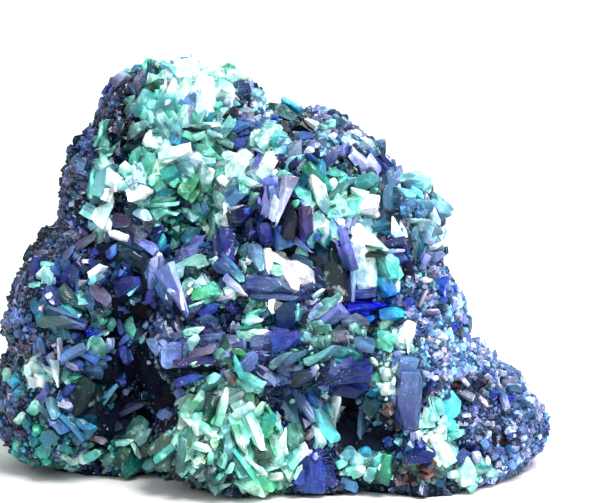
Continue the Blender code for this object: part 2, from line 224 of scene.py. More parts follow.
# Flat cuts that shape each form from a box 1 long, wide and thick, from z 0 to 1: point, outward normal.
HABITS = {
    "blade": (
        ((0.1, 0, 1), (0.75, 0.3, 1)),
        ((0.1, 0, 1), (-0.45, -0.2, 1)),
        ((0.1, 0.5, 0.5), (0.7, 1, 0.1)),
        ((0.5, 0, 0.15), (1, 0, -0.5)),
        ((-0.45, -0.35, 0.5), (-1, -0.8, 0.05)),
    ),
    "dagger": (
        ((0, 0, 1), (1, 0, 0.55)),
        ((0, 0, 1), (-1, -0.1, 0.42)),
        ((0, -0.2, 1), (0.15, -1, 0.35)),
        ((0.1, 0.4, 0.7), (0.6, 1, 0.1)),
    ),
    "lozenge": (
        ((0.05, 0, 1), (1, 0.1, 0.75)),
        ((0.05, 0, 1), (-1, 0.1, 0.95)),
        ((-0.5, 0, 0.3), (-1, 0.1, -1.1)),
        ((-0.05, 0.5, 0.6), (-0.5, 1, 0.2)),
        ((0, -0.45, 0.7), (0.2, -1, 0.3)),
    ),
    "leaf": (
        ((0, 0, 1), (1, 0, 0.75)),
        ((0, 0, 1), (-1, 0, 0.65)),
        ((0.5, 0, 0.4), (1, 0, -0.6)),
        ((-0.5, 0, 0.35), (-1, 0, -0.5)),
        ((0.05, 0.5, 0.5), (0.55, 1, 0.1)),
        ((0.1, -0.4, 0.6), (0.4, -1, 0.2)),
    ),
    "petal": (
        ((0.5, 0, 0.55), (1, 0, 0.45)),
        ((0.28, 0, 0.92), (0.75, 0, 1)),
        ((-0.5, 0, 0.6), (-1, 0, 0.4)),
        ((-0.25, 0, 0.94), (-0.6, 0, 1)),
        ((-0.45, 0, 0.2), (-1, 0, -0.9)),
        ((0.1, -0.42, 0.75), (0.3, -1, 0.5)),
    ),
    "slab": (
        ((0.24, 0, 1), (1, 0.35, 0.8)),
        ((0, 0, 0.96), (-0.3, -0.3, 1)),
        ((-0.5, 0, 0.22), (-1, 0.2, -0.8)),
        ((0.1, 0.5, 0.5), (0.5, 1, 0.05)),
        ((-0.42, -0.4, 0.6), (-1, -0.9, 0.15)),
    ),
    "block": (
        ((0.38, 0.38, 0.8), (1, 0.8, 0.9)),
        ((-0.4, 0.1, 0.9), (-0.9, 0.3, 1)),
        ((0.1, -0.42, 0.85), (0.2, -1, 0.8)),
    ),
    "lamella": (((0.4, 0, 0.85), (1, 0, 0.8)), ((-0.4, 0, 0.9), (-0.7, 0, 1))),
    "chip": (((0.3, 0.2, 0.85), (1, 0.5, 0.8)),),
    "ball": (),
}
VARIANTS = 5
# Roughness where clean and where dusty, strength of the growth lines, share of pale specks (frost that also
# stands for painted sparkle), coat, and how marbled it is.
FINISHES = {"azurite": (0.13, 0.32, 0.36, 0.2, 0.0, 0.0), "malachite": (0.28, 0.55, 0.65, 0.1, 0.0, 0.6)}
# Painted reflection and glints: how much the faces of the crust crystals differ in brightness, and the share
# of them that are painted pale as glints.
PAINTED_FACETS = {"azurite": (0.36, 0.05), "malachite": (0.2, 0.05)}
# Painted highlight: the pale cyan that lit bevelled edges are painted with.
PAINTED_EDGE_HIGHLIGHT = (0.26, 0.74, 0.86)
# Painted glint: the pale blue-white that glinting faces are mixed towards.
GLINT = (0.72, 0.80, 1.0)
SEED = 20
# Crystals that stand out on the front: form and colours of the tip and the foot, then in the front view
# (across, up) of the foot and of the tip, the width, and for some how far in front they stand.
# Many narrow white and lilac ones are painted highlights, glints laid on larger blades; some navy_black ones
# are painted shadow in gaps.
BLADES = [
    # the peak
    ("blade grey_teal navy", -14.8, 38.4, -14.4, 37.0, 0.5),
    ("slab taupe plum", -14.1, 37.6, -13.6, 39.4, 1.2),
    ("petal taupe plum", -16.2, 38.1, -14.9, 39.2, 1.2),
    ("blade mint sage", -18.1, 32.2, -17.0, 34.8, 0.6),
    ("petal sage olive", -14.8, 33.5, -13.2, 34.6, 1.1),
    ("petal sage deep_green", -15.2, 36.0, -13.6, 36.5, 1.0),
    ("leaf sage olive", -16.7, 31.0, -15.9, 32.4, 0.9),
    ("blade mint sage", -18.4, 30.5, -16.7, 31.3, 0.5),
    ("slab grey_teal sage", -17.8, 27.5, -16.9, 30.3, 1.8),
    ("blade mint sea_green", -18.7, 27.2, -18.4, 29.8, 0.7),
    ("dagger white rose_grey", -16.3, 27.9, -16.0, 29.3, 0.9),
    ("petal white white_mint", -17.3, 26.8, -16.8, 27.9, 1.0, 0.5),
    ("petal sage pale_cyan", -19.3, 25.9, -17.6, 24.8, 1.1),
    ("slab white white_mint", -17.6, 25.1, -16.7, 23.7, 1.1),
    ("slab white white_mint", -16.7, 23.5, -15.1, 22.8, 0.8, 0.3),
    ("slab mint bright_green", -13.4, 28.7, -12.9, 31.5, 1.7),
    ("lozenge pale_mint mint", -12.9, 28.4, -12.1, 29.6, 0.9, 0.3),
    ("slab mint sea_green", -14.6, 30.6, -13.9, 31.9, 0.8),
    ("petal white pale_mint", -14.8, 27.1, -13.0, 27.8, 1.2),
    ("blade sage emerald", -12.9, 26.8, -10.3, 27.1, 0.5),
    ("blade mint emerald", -13.5, 26.3, -10.1, 26.5, 0.6, 0.2),
    ("blade mint emerald", -13.0, 26.0, -10.2, 25.4, 0.5),
    ("lozenge pale_mint steel", -14.4, 26.0, -12.9, 24.9, 0.7),
    ("petal indigo navy_black", -10.0, 27.0, -8.2, 27.0, 1.4, 0.2),
    ("slab plum navy_black", -9.9, 28.3, -8.0, 28.1, 0.6),
    ("petal white_mint sage", -7.4, 28.8, -6.6, 29.9, 1.0, 0.3),
    ("slab white pale_mint", -11.7, 31.4, -8.7, 32.0, 1.1, 0.3),
    ("blade mint emerald", -8.5, 32.0, -5.5, 31.2, 0.8, 0.2),
    ("slab pale_cyan pale_mint", -8.0, 30.9, -6.1, 30.6, 1.0),
    ("slab teal sea_green", -11.3, 29.6, -9.2, 29.9, 1.4),
    ("slab sage grey_teal", -9.6, 30.4, -8.2, 29.4, 1.2),
    ("petal grey_teal teal", -10.5, 32.7, -10.0, 34.7, 1.1),
    ("lozenge emerald mint", -9.3, 33.4, -8.3, 32.6, 0.8, 0.2),
    ("petal pale_mint mint", -9.2, 33.2, -7.4, 33.5, 0.7),
    ("lozenge navy_black navy_black", -9.4, 34.0, -7.3, 33.8, 0.4, 0.4),
    ("slab lilac taupe", -9.2, 34.6, -8.9, 36.3, 0.9),
    ("slab grey_blue grey_violet", -8.6, 36.5, -8.4, 37.7, 0.7),
    ("slab white pale_cyan", -9.9, 36.5, -9.2, 38.0, 0.9),
    ("petal white lilac", -11.2, 36.5, -10.8, 37.0, 0.6, 0.3),
    ("slab white white_mint", -7.3, 35.8, -7.1, 39.0, 1.6, 0.3),
    ("slab white white_mint", -10.9, 39.2, -8.0, 39.9, 1.6),
    ("slab white white_mint", -7.8, 40.0, -5.7, 40.2, 1.3),
    ("slab white pale_mint", -5.5, 38.0, -3.3, 38.4, 1.0),
    ("blade mint emerald", -6.3, 38.5, -4.2, 38.8, 0.5, 0.3),
    ("slab pale_mint sage", -12.7, 37.3, -12.1, 39.5, 1.3),
    ("slab pale_mint mint", -11.5, 37.9, -11.2, 39.7, 0.9),
    ("slab pale_mint mint", -12.8, 36.6, -11.6, 35.9, 1.0),
    ("petal white grey_teal", -5.2, 36.4, -4.8, 37.0, 0.6, 0.3),
    ("dagger sea_green teal", -7.1, 35.1, -5.6, 36.2, 1.2),
    ("dagger navy_black navy_black", -5.2, 34.9, -4.1, 35.9, 1.3, 0.6),
    ("slab steel royal", -5.3, 33.8, -3.0, 34.6, 1.1),
    ("slab white pale_cyan", -7.5, 34.3, -5.6, 34.1, 0.8, 0.5),
    ("blade pale_mint pale_cyan", -7.0, 33.6, -5.5, 33.0, 0.5),
    ("slab sage olive", -6.0, 32.9, -4.4, 32.4, 0.8),
    ("slab violet royal", -4.4, 32.8, -3.2, 32.5, 0.9),
    ("slab lavender grey_violet", -3.1, 37.2, -2.7, 38.7, 1.0),
    ("petal grey_blue steel", -4.7, 26.7, -3.3, 27.8, 1.3),
    ("petal white_mint pale_mint", -6.0, 29.0, -4.8, 27.9, 0.8),
    ("slab lavender steel", -7.4, 25.6, -6.6, 27.2, 1.0),
    # the saddle and the dome
    ("slab white_mint pale_mint", -4.5, 29.2, -3.2, 31.9, 2.2),
    ("slab white pale_mint", -5.4, 31.2, -4.2, 31.6, 0.9),
    ("blade violet lavender", -2.4, 29.2, -1.9, 31.3, 0.6),
    ("petal white pale_mint", -1.7, 29.4, -0.4, 31.2, 1.5),
    ("petal white teal", -0.6, 29.3, -0.2, 29.8, 0.5, 0.4),
    ("lozenge lilac taupe", -2.5, 32.0, -1.3, 31.4, 0.5, 0.2),
    ("slab white_mint mint", -1.7, 32.2, -0.6, 33.0, 1.3),
    ("slab turquoise sea_green", -0.3, 31.9, -0.2, 33.4, 0.6),
    ("petal white pale_cyan", -0.7, 34.1, 0.5, 33.8, 0.8),
    ("blade steel royal", -2.0, 33.5, -1.5, 34.6, 0.9),
    ("slab pale_mint sage", -2.9, 32.3, -2.6, 33.4, 0.6),
    ("slab white pale_mint", -2.6, 33.2, -2.1, 33.8, 0.6),
    ("petal ultramarine ultramarine", -0.5, 34.7, -0.1, 35.1, 0.5, 0.3),
    ("petal sage deep_green", -0.5, 36.3, 2.0, 34.8, 1.3),
    ("blade cerulean turquoise", 0.5, 36.8, 2.1, 35.6, 0.5),
    ("slab white lilac", 2.7, 34.7, 4.1, 34.2, 0.7),
    ("dagger violet indigo", 3.5, 34.8, 4.0, 35.8, 0.9, 0.5),
    ("slab lilac grey_violet", 4.6, 34.8, 5.3, 35.2, 0.8),
    ("blade violet steel", 1.8, 33.0, 3.5, 33.3, 0.8),
    ("slab taupe grey_teal", 1.6, 30.4, 1.7, 32.5, 1.4),
    ("petal white white_mint", 2.7, 31.7, 3.5, 31.9, 0.6, 0.3),
    ("blade royal steel", 4.2, 30.2, 2.9, 31.4, 0.5, 0.2),
    ("slab pale_cyan teal", 3.8, 32.8, 5.0, 33.2, 1.0),
    ("slab grey_violet indigo", 5.2, 30.3, 5.6, 31.8, 1.1),
    ("dagger olive deep_green", 7.5, 29.6, 6.2, 31.4, 1.0),
    ("blade lilac lavender", 9.6, 29.1, 7.5, 31.7, 1.2, 0.3),
    ("blade white pale_cyan", 9.9, 29.5, 8.9, 31.0, 0.5, 0.2),
    ("blade indigo navy", 10.9, 29.8, 9.6, 31.1, 0.9),
    ("slab emerald sea_green", 4.9, 27.9, 2.8, 30.3, 1.4),
    ("lozenge mint sea_green", 5.2, 29.8, 6.7, 29.2, 0.8),
    ("lozenge mint sea_green", 6.8, 29.0, 6.2, 28.1, 0.6),
    ("petal white pale_mint", 5.2, 28.2, 5.8, 28.8, 0.7, 0.2),
    ("leaf white_mint sage", 4.6, 26.0, 3.0, 29.1, 1.7),
    ("blade grey_teal sage", 5.1, 26.8, 7.6, 29.2, 0.7),
    ("slab grey_teal sea_green", 7.4, 28.3, 9.8, 28.8, 1.3),
    ("petal mint bright_green", 8.9, 27.2, 9.9, 27.8, 0.9, 0.4),
    ("dagger lilac taupe", 1.1, 28.7, -0.3, 24.1, 2.3, 0.2),
    ("blade white lilac", -0.7, 25.0, -0.1, 27.0, 0.4, 0.6),
    ("leaf lavender lavender", -1.1, 25.3, -1.3, 28.2, 1.4),
    ("slab mint sage", 0.0, 29.2, 1.4, 29.5, 0.8),
    ("lozenge white_mint mint", -3.7, 28.8, -1.5, 28.2, 0.7),
    ("slab sage olive", -2.7, 26.3, -2.4, 27.7, 0.8),
    ("blade pale_mint steel", 2.3, 26.5, 3.6, 25.7, 0.5),
    ("petal mint emerald", 1.6, 26.4, 2.1, 26.7, 0.5),
    ("slab lilac violet", 6.4, 34.0, 7.6, 34.2, 0.6),
    ("slab pale_cyan white_mint", 5.3, 33.2, 6.1, 32.3, 0.6),
    ("slab white pale_mint", 6.6, 32.9, 7.6, 32.0, 0.9),
    ("slab pale_cyan white_mint", 8.2, 32.6, 9.8, 32.0, 0.9),
    ("blade royal steel", 5.8, 33.0, 6.4, 32.2, 0.3, 0.3),
    # the middle
    ("slab indigo navy_black", -4.6, 24.9, -2.2, 25.2, 1.9),
    ("blade white steel", -4.8, 25.9, -3.3, 26.2, 0.4, 0.5),
    ("petal ultramarine ultramarine", -3.3, 25.5, -2.5, 25.6, 0.7, 0.6),
    ("leaf sage olive", -6.2, 22.1, -6.2, 25.6, 1.7),
    ("petal pale_mint mint", -5.7, 24.9, -5.4, 25.4, 0.5, 0.4),
    ("petal mint teal", -7.8, 24.3, -7.1, 24.7, 0.8),
    ("blade lavender violet", -15.1, 23.2, -11.9, 21.5, 1.1),
    ("lozenge cerulean steel", -12.6, 21.8, -10.9, 22.1, 0.8),
    ("dagger turquoise teal", -11.9, 22.2, -11.5, 23.4, 0.5, 0.2),
    ("lozenge mint sage", -10.3, 22.2, -10.5, 23.4, 0.8),
    ("lozenge mint emerald", -10.5, 23.6, -8.8, 24.3, 1.0),
    ("petal lilac steel", -12.6, 18.6, -12.0, 21.3, 1.6),
    ("dagger lavender lavender", -11.4, 19.7, -9.3, 15.1, 2.2, 0.3),
    ("blade white lilac", -9.8, 17.4, -9.4, 15.6, 0.4, 0.6),
    ("lozenge white lavender", -10.9, 17.7, -10.2, 17.4, 0.4, 0.8),
    ("petal sage teal", -9.0, 22.5, -8.0, 24.0, 1.5, 0.5),
    ("slab heather lavender", -9.5, 20.7, -7.2, 22.4, 1.5),
    ("slab sage pale_mint", -10.4, 19.3, -7.2, 20.8, 1.4, 0.8),
    ("blade pale_cyan pale_mint", -10.0, 20.2, -7.2, 21.1, 0.3, 0.4),
    ("blade olive sage", -9.8, 19.5, -7.8, 20.4, 0.3, 0.4),
    ("block sage grey_teal", -9.4, 17.1, -8.6, 18.8, 1.0),
    ("petal white white_mint", -8.9, 18.3, -8.5, 18.7, 0.4, 0.4),
    ("petal white white_mint", -9.1, 17.6, -8.5, 18.0, 0.3, 0.4),
    ("petal mint bright_green", -8.3, 17.4, -5.8, 17.8, 1.2),
    ("blade grey_violet slate_violet", -9.2, 15.8, -7.1, 16.8, 1.1),
    ("blade pale_mint sage", -8.7, 16.1, -7.4, 16.7, 0.3, 0.4),
    ("slab royal violet", -7.6, 15.5, -5.9, 16.7, 1.0),
    ("slab rose_grey grey_violet", -6.0, 16.9, -4.4, 17.1, 0.6),
    ("slab navy_black dark_teal", -15.9, 21.8, -13.2, 20.0, 2.4),
    ("petal violet navy", -15.9, 17.9, -13.9, 18.6, 1.6),
    ("lozenge pale_cyan turquoise", -14.9, 17.4, -14.0, 18.2, 0.4, 0.5),
    ("lozenge steel royal", -16.1, 19.2, -15.3, 19.6, 0.6),
    ("slab violet indigo", -5.3, 23.6, -5.3, 20.3, 1.5),
    ("dagger white steel", -4.2, 22.0, -4.6, 20.8, 0.5),
    ("blade steel indigo", -6.0, 20.5, -3.5, 18.4, 1.3),
    ("lozenge pale_cyan steel", -4.4, 19.8, -3.5, 18.7, 0.7, 0.4),
    ("lozenge white lavender", -5.2, 18.9, -3.3, 17.2, 0.9, 0.3),
    ("petal pale_mint sea_green", -6.6, 20.6, -6.1, 20.8, 0.5),
    ("slab grey_teal grey_blue", -2.4, 22.1, -2.1, 19.2, 1.6),
    ("petal white white_mint", -3.0, 20.6, -2.7, 20.7, 0.4, 0.4),
    ("slab white white", -1.3, 21.5, 1.2, 20.4, 1.0, 0.3),
    ("slab white white", -1.1, 21.7, -1.0, 19.4, 0.8, 0.3),
    ("slab white white", 1.0, 19.7, 3.7, 18.4, 2.1, 0.3),
    ("slab white white", 1.0, 19.4, 2.0, 17.5, 1.1, 0.2),
    ("petal mint pale_mint", -0.4, 19.5, 1.0, 19.4, 1.1, 0.3),
    ("blade sea_green emerald", -0.8, 20.6, 1.0, 20.0, 0.3, 0.6),
    ("slab heather violet", -2.7, 18.4, 1.4, 17.9, 1.6),
    ("blade grey_violet slate_violet", -2.4, 17.1, 1.8, 17.0, 0.7),
    ("slab indigo violet", -1.2, 24.2, -1.1, 22.5, 1.5),
    ("slab steel royal", 0.0, 23.9, 0.8, 22.0, 1.3),
    ("dagger lavender violet", 1.2, 23.1, 3.5, 21.6, 0.9),
    ("slab violet plum", 2.9, 25.8, 2.8, 22.5, 1.4),
    ("lozenge navy_black navy_black", 0.9, 23.3, 1.6, 26.1, 1.4, 0.2),
    ("leaf pale_mint sage", 3.9, 25.4, 3.6, 23.6, 1.1),
    ("lozenge pale_cyan teal", 3.3, 22.1, 3.6, 23.7, 0.9),
    ("petal cerulean dark_teal", 4.0, 22.8, 4.1, 23.5, 0.5, 0.4),
    ("slab slate_violet navy", 3.7, 19.8, 5.2, 18.2, 1.4),
    ("slab grey_teal grey_violet", 1.6, 20.9, 3.6, 20.7, 0.9),
    ("blade white sage", 3.6, 17.1, 4.7, 17.9, 0.5, 0.3),
    ("blade sage grey_teal", 2.1, 14.4, 6.0, 17.3, 1.0),
    ("blade white lilac", 3.9, 15.2, 6.3, 16.9, 0.35, 0.4),
    ("slab lavender lavender", 4.3, 14.4, 6.7, 16.2, 1.8, 0.2),
    ("leaf sage grey_teal", -3.1, 15.1, -0.9, 16.3, 1.1),
    ("lozenge white_mint mint", -3.1, 14.8, -1.5, 15.0, 0.7, 0.6),
    ("dagger white white_mint", -0.5, 16.6, -0.5, 15.3, 0.9, 0.2),
    ("slab dark_teal navy", 0.9, 14.4, 0.9, 16.8, 1.6),
    ("lozenge pale_mint teal", 1.8, 14.9, 2.2, 16.3, 0.7, 0.2),
    ("lozenge white_mint mint", -3.8, 13.3, -1.2, 13.4, 1.0, 0.4),
    ("blade emerald sea_green", -3.6, 13.9, -1.6, 14.0, 0.4, 0.3),
    # the right side
    ("slab white white_mint", 6.9, 26.5, 9.9, 26.2, 1.9, 0.2),
    ("dagger white pale_mint", 8.6, 27.0, 7.2, 27.8, 1.2),
    ("slab pale_mint mint", 5.0, 25.8, 6.9, 26.0, 1.6),
    ("petal emerald emerald", 5.4, 26.0, 5.8, 26.3, 0.4, 0.4),
    ("petal emerald emerald", 6.0, 26.2, 6.3, 26.4, 0.3, 0.4),
    ("slab white lilac", 5.8, 25.0, 6.6, 24.1, 0.7),
    ("slab lilac lavender", 6.9, 24.2, 7.3, 24.9, 0.6),
    ("slab mint sea_green", 7.9, 24.4, 9.3, 24.7, 0.8),
    ("dagger white white", 7.6, 23.7, 10.9, 21.8, 1.7, 0.3),
    ("blade mint emerald", 9.0, 22.3, 10.8, 21.8, 0.4, 0.6),
    ("blade lavender violet", 7.4, 20.1, 6.4, 24.0, 0.9, 0.2),
    ("blade violet indigo", 7.1, 17.1, 7.1, 20.4, 0.5),
    ("slab deep_green navy_black", 5.9, 17.2, 5.5, 23.0, 2.2),
    ("slab white_mint pale_cyan", 8.9, 18.4, 8.5, 22.9, 2.4),
    ("blade pale_cyan lavender", 7.5, 17.0, 7.6, 21.0, 0.4, 0.5),
    ("slab violet royal", 7.7, 17.7, 9.8, 17.7, 1.5, 0.2),
    ("blade white lilac", 7.8, 18.6, 9.7, 18.2, 0.35, 0.5),
    ("slab sea_green sage", 10.9, 21.4, 11.0, 18.6, 2.1),
    ("slab cerulean teal", 10.8, 18.8, 10.9, 17.0, 1.9, 0.1),
    ("blade pale_cyan mint", 12.1, 19.0, 11.4, 20.9, 0.6, 0.3),
    ("petal white_mint pale_cyan", 11.8, 17.7, 12.0, 18.7, 0.6, 0.3),
    ("dagger navy_black deep_green", 9.0, 21.3, 10.8, 21.3, 0.6, 0.6),
    ("slab violet indigo", 10.8, 22.2, 12.8, 22.6, 1.2),
    ("slab lavender violet", 11.0, 23.4, 12.7, 23.6, 0.8),
    ("slab royal navy", 11.5, 20.9, 12.8, 21.2, 0.9),
    ("blade lilac steel", 10.9, 21.5, 12.8, 21.8, 0.3, 0.4),
    ("lozenge white pale_mint", 11.9, 23.1, 11.4, 25.0, 1.0, 0.3),
    ("slab grey_teal dark_teal", 13.5, 20.0, 13.5, 24.0, 1.0),
    ("slab lavender heather", 14.1, 20.0, 14.9, 21.5, 1.3),
    ("slab lavender heather", 15.3, 20.5, 16.3, 21.6, 0.9),
    ("blade white lilac", 14.5, 21.8, 16.7, 22.6, 0.6, 0.2),
    ("slab pale_cyan lilac", 14.6, 22.5, 15.1, 24.2, 0.9),
    ("slab white_mint pale_cyan", 16.0, 22.8, 16.3, 24.6, 0.9),
    ("dagger violet indigo", 16.5, 24.5, 15.5, 26.2, 1.1, 0.9),
    ("slab grey_teal grey_blue", 10.9, 23.9, 11.1, 28.6, 1.2),
    ("slab heather grey_violet", 13.0, 25.7, 14.2, 26.7, 1.2),
    ("lozenge pale_mint sage", 12.5, 24.6, 14.8, 24.8, 0.6),
    ("slab steel grey_teal", 12.9, 27.6, 13.6, 28.8, 0.8),
    ("slab pale_cyan turquoise", 13.6, 28.0, 14.7, 26.8, 0.7),
    ("blade ultramarine ultramarine", 7.3, 16.0, 11.0, 16.4, 0.9, 0.3),
    ("petal bright_cyan cerulean", 10.5, 15.4, 12.4, 15.4, 1.1, 0.4),
    ("petal cerulean cerulean", 8.6, 14.5, 9.7, 15.2, 0.7, 0.2),
    ("slab taupe grey_violet", 6.6, 14.3, 8.8, 14.9, 1.1),
    ("petal white white", 13.0, 12.9, 13.0, 14.5, 1.3, 0.4),
    ("dagger white pale_cyan", 13.1, 13.1, 13.0, 11.3, 0.6, 0.3),
    ("slab white rose_grey", 14.2, 18.6, 15.4, 18.9, 0.6),
    ("blade rose_grey taupe", 14.2, 16.2, 14.9, 17.8, 0.4),
    ("blade rose_grey taupe", 15.0, 15.5, 16.2, 15.7, 0.4),
    ("petal ultramarine royal", 12.8, 16.6, 13.5, 16.9, 0.7, 0.2),
    ("petal ultramarine indigo", 16.2, 16.6, 16.9, 16.9, 0.6, 0.2),
    ("petal ultramarine royal", 17.3, 13.9, 18.0, 14.4, 0.7, 0.2),
    ("petal mint bright_green", 10.1, 12.5, 11.5, 11.8, 1.0),
    ("petal pale_cyan turquoise", 10.1, 13.3, 11.1, 13.4, 0.8),
    ("petal white sage", 9.5, 10.6, 9.9, 10.7, 0.5, 0.3),
    ("slab white pale_mint", 11.6, 9.7, 12.4, 10.7, 0.5, 0.3),
    ("petal white pale_mint", 11.5, 8.5, 11.7, 9.0, 0.4, 0.4),
    ("slab pale_mint sage", 10.5, 9.0, 10.3, 10.2, 0.7),
    ("petal lilac lavender", 11.9, 11.2, 12.6, 11.7, 0.7),
    ("slab mauve violet", 12.8, 4.4, 13.3, 9.6, 2.4),
    ("slab grey_blue heather", 12.6, 9.2, 13.2, 11.0, 1.8, 0.2),
    ("slab indigo navy_black", 14.6, 7.3, 15.4, 8.8, 0.8),
    ("petal white lilac", 15.2, 8.6, 16.0, 9.0, 0.5),
    ("petal turquoise turquoise", 16.7, 7.3, 16.9, 4.5, 2.3, 1.2),
    ("blade cerulean bright_cyan", 16.2, 7.5, 18.0, 6.5, 0.4, 0.6),
    ("slab pale_cyan mint", 15.2, 6.7, 15.6, 4.4, 1.1),
    ("slab pale_mint white_mint", 15.6, 2.9, 17.0, 0.3, 1.3, 0.3),
    ("slab pale_mint sage", 16.9, 2.3, 17.7, 0.9, 0.8),
    ("petal mint sea_green", 17.2, 3.2, 18.5, 3.6, 0.9),
    ("slab royal violet", 18.0, 0.4, 19.0, 1.6, 1.0, 0.6),
    ("petal white lavender", 19.6, 0.9, 20.3, 1.3, 0.7, 0.3),
    ("petal white lilac", 20.5, 0.3, 21.1, 0.8, 0.6, 0.3),
    ("petal white lilac", 18.6, 5.1, 19.1, 5.2, 0.4, 0.3),
    ("petal indigo navy", 13.0, 1.1, 15.5, 1.2, 1.1),
    ("slab bright_green emerald", 10.3, -1.3, 11.2, 1.4, 1.4),
    ("petal white pale_mint", 10.1, 0.0, 10.6, 0.4, 0.5, 0.4),
    ("slab mint sage", 8.9, -1.1, 9.9, 0.2, 1.1, 0.4),
    ("slab white pale_mint", 17.2, -0.7, 18.1, -0.6, 0.7),
    ("slab white mint", 18.6, -0.8, 19.9, -0.4, 0.6),
    ("slab limonite limonite", 22.0, 2.5, 22.4, 4.2, 0.7),
    ("petal rose_grey taupe", 20.7, 4.2, 21.6, 4.5, 0.5),
    ("slab white rose_grey", 18.2, 9.2, 19.1, 8.0, 0.6),
    ("slab rose_grey taupe", 18.6, 7.5, 19.6, 6.8, 0.8),
    ("blade white rose_grey", 20.2, 7.0, 20.9, 6.1, 0.6),
    ("slab lilac steel", 22.5, 7.4, 22.9, 5.7, 0.8),
    ("petal ultramarine ultramarine", 23.0, 6.8, 23.7, 7.0, 0.6),
    ("petal ultramarine royal", 21.3, 7.2, 21.9, 7.5, 0.5),
    ("petal navy_black navy_black", 20.0, 8.2, 20.8, 8.6, 0.9),
    ("slab navy_black limonite", 16.5, 8.1, 18.3, 8.2, 0.7),
    ("slab indigo slate_violet", 5.0, 9.5, 9.4, 9.8, 2.2),
    # the left side
    ("blade steel royal", -16.9, 21.2, -16.2, 22.2, 0.7),
    ("blade heather plum", -21.5, 21.0, -20.4, 22.1, 0.7),
    ("blade taupe plum", -20.2, 22.0, -18.3, 23.4, 0.8),
    ("petal white lilac", -19.4, 20.6, -18.7, 20.6, 0.4, 0.2),
    ("petal indigo violet", -18.7, 21.3, -18.1, 21.7, 0.7),
    ("slab taupe plum", -24.2, 21.5, -22.4, 21.4, 0.7),
    ("slab violet navy", -24.3, 18.5, -24.2, 21.1, 1.0),
    ("slab pale_mint pale_cyan", -22.9, 18.2, -22.9, 20.2, 1.1),
    ("slab pale_mint mint", -23.5, 20.4, -22.1, 20.2, 0.5, 0.2),
    ("slab mint pale_cyan", -24.7, 18.3, -23.6, 18.2, 0.5, 0.2),
    ("slab violet royal", -22.9, 17.9, -22.3, 16.1, 1.3),
    ("petal white lilac", -22.9, 17.5, -22.6, 17.1, 0.4, 0.5),
    ("petal lilac lavender", -22.7, 16.7, -22.4, 16.3, 0.4, 0.5),
    ("blade violet indigo", -21.0, 17.6, -20.2, 20.5, 1.3),
    ("lozenge lilac violet", -20.9, 19.2, -20.4, 20.0, 0.4, 0.5),
    ("blade steel steel", -20.1, 17.6, -20.0, 20.4, 0.5, 0.4),
    ("lozenge pale_mint pale_cyan", -20.1, 17.6, -19.2, 17.4, 0.4, 0.4),
    ("petal rose_grey taupe", -19.8, 18.4, -19.1, 18.8, 0.5, 0.2),
    ("blade white white", -18.6, 19.0, -17.2, 20.1, 0.9),
    ("blade pale_cyan teal", -18.6, 18.3, -17.7, 19.4, 0.7),
    ("petal taupe plum", -18.5, 18.2, -16.9, 16.4, 1.3),
    ("leaf dark_teal deep_green", -21.8, 17.4, -18.9, 15.4, 2.2),
    ("blade steel grey_blue", -19.3, 17.3, -18.2, 15.1, 0.8, 0.2),
    ("blade grey_teal sea_green", -21.8, 16.6, -20.0, 15.3, 0.5, 0.3),
    ("leaf grey_violet olive", -23.6, 15.0, -19.3, 14.2, 1.9),
    ("blade steel grey_blue", -22.9, 15.9, -19.6, 14.7, 0.5, 0.4),
    ("petal pale_mint pale_cyan", -20.2, 15.1, -19.8, 15.4, 0.5, 0.4),
    ("blade rose_grey taupe", -23.9, 15.2, -23.5, 16.2, 0.5),
    ("slab royal ultramarine", -18.9, 13.5, -17.8, 14.2, 1.1, 0.2),
    ("petal mint sea_green", -17.7, 14.5, -17.2, 14.9, 0.8),
    ("petal white_mint pale_cyan", -17.4, 13.5, -16.9, 13.7, 0.5, 0.3),
    ("petal sage sea_green", -17.0, 14.2, -16.4, 14.9, 0.7),
    ("blade grey_teal teal", -19.0, 12.5, -16.9, 13.8, 0.5, 0.2),
    ("petal sage deep_green", -18.0, 11.2, -18.3, 13.0, 1.2),
    ("blade mint sage", -19.1, 11.9, -18.5, 13.1, 0.4, 0.3),
    ("blade lilac steel", -17.1, 11.6, -16.6, 12.8, 0.7),
    ("blade mint sea_green", -15.3, 15.1, -14.4, 12.2, 1.1),
    ("slab indigo royal", -16.1, 14.9, -15.7, 13.2, 0.8),
    ("slab steel indigo", -15.9, 12.5, -14.9, 13.2, 0.8),
    ("blade violet royal", -15.6, 12.0, -15.3, 10.4, 1.0),
    ("petal lilac steel", -13.4, 14.1, -12.9, 14.6, 0.5),
    ("blade rose_grey sage", -13.7, 12.6, -13.1, 13.5, 0.4),
    ("dagger rose_grey taupe", -21.9, 11.2, -21.9, 13.1, 1.0, 0.2),
    ("dagger steel grey_violet", -23.6, 11.5, -23.9, 13.1, 0.9),
    ("lozenge pale_mint pale_cyan", -24.4, 11.2, -23.4, 11.7, 0.6),
    ("blade lilac violet", -24.0, 11.0, -22.4, 10.9, 0.6),
    ("petal white_mint pale_mint", -24.8, 8.9, -24.6, 11.0, 1.1),
    ("lozenge mint pale_mint", -24.7, 8.7, -23.1, 9.3, 0.8),
    ("dagger white_mint pale_mint", -22.1, 10.5, -21.9, 8.0, 1.9, 1.6),
    ("slab grey_violet grey_blue", -21.6, 11.0, -19.3, 12.1, 1.1),
    ("blade royal steel", -19.8, 11.7, -17.9, 10.8, 0.5),
    ("blade grey_teal dark_teal", -19.0, 10.9, -17.2, 10.2, 0.6),
    ("lozenge mint emerald", -20.8, 9.1, -19.5, 9.3, 0.7),
    ("blade grey_violet slate_violet", -19.4, 8.3, -18.1, 9.7, 0.5),
    ("slab royal violet", -21.3, 7.6, -20.5, 8.4, 0.8),
    ("petal pale_mint sea_green", -24.7, 5.6, -23.9, 6.8, 1.1),
    ("petal pale_mint sage", -26.0, 4.6, -25.4, 5.4, 0.7),
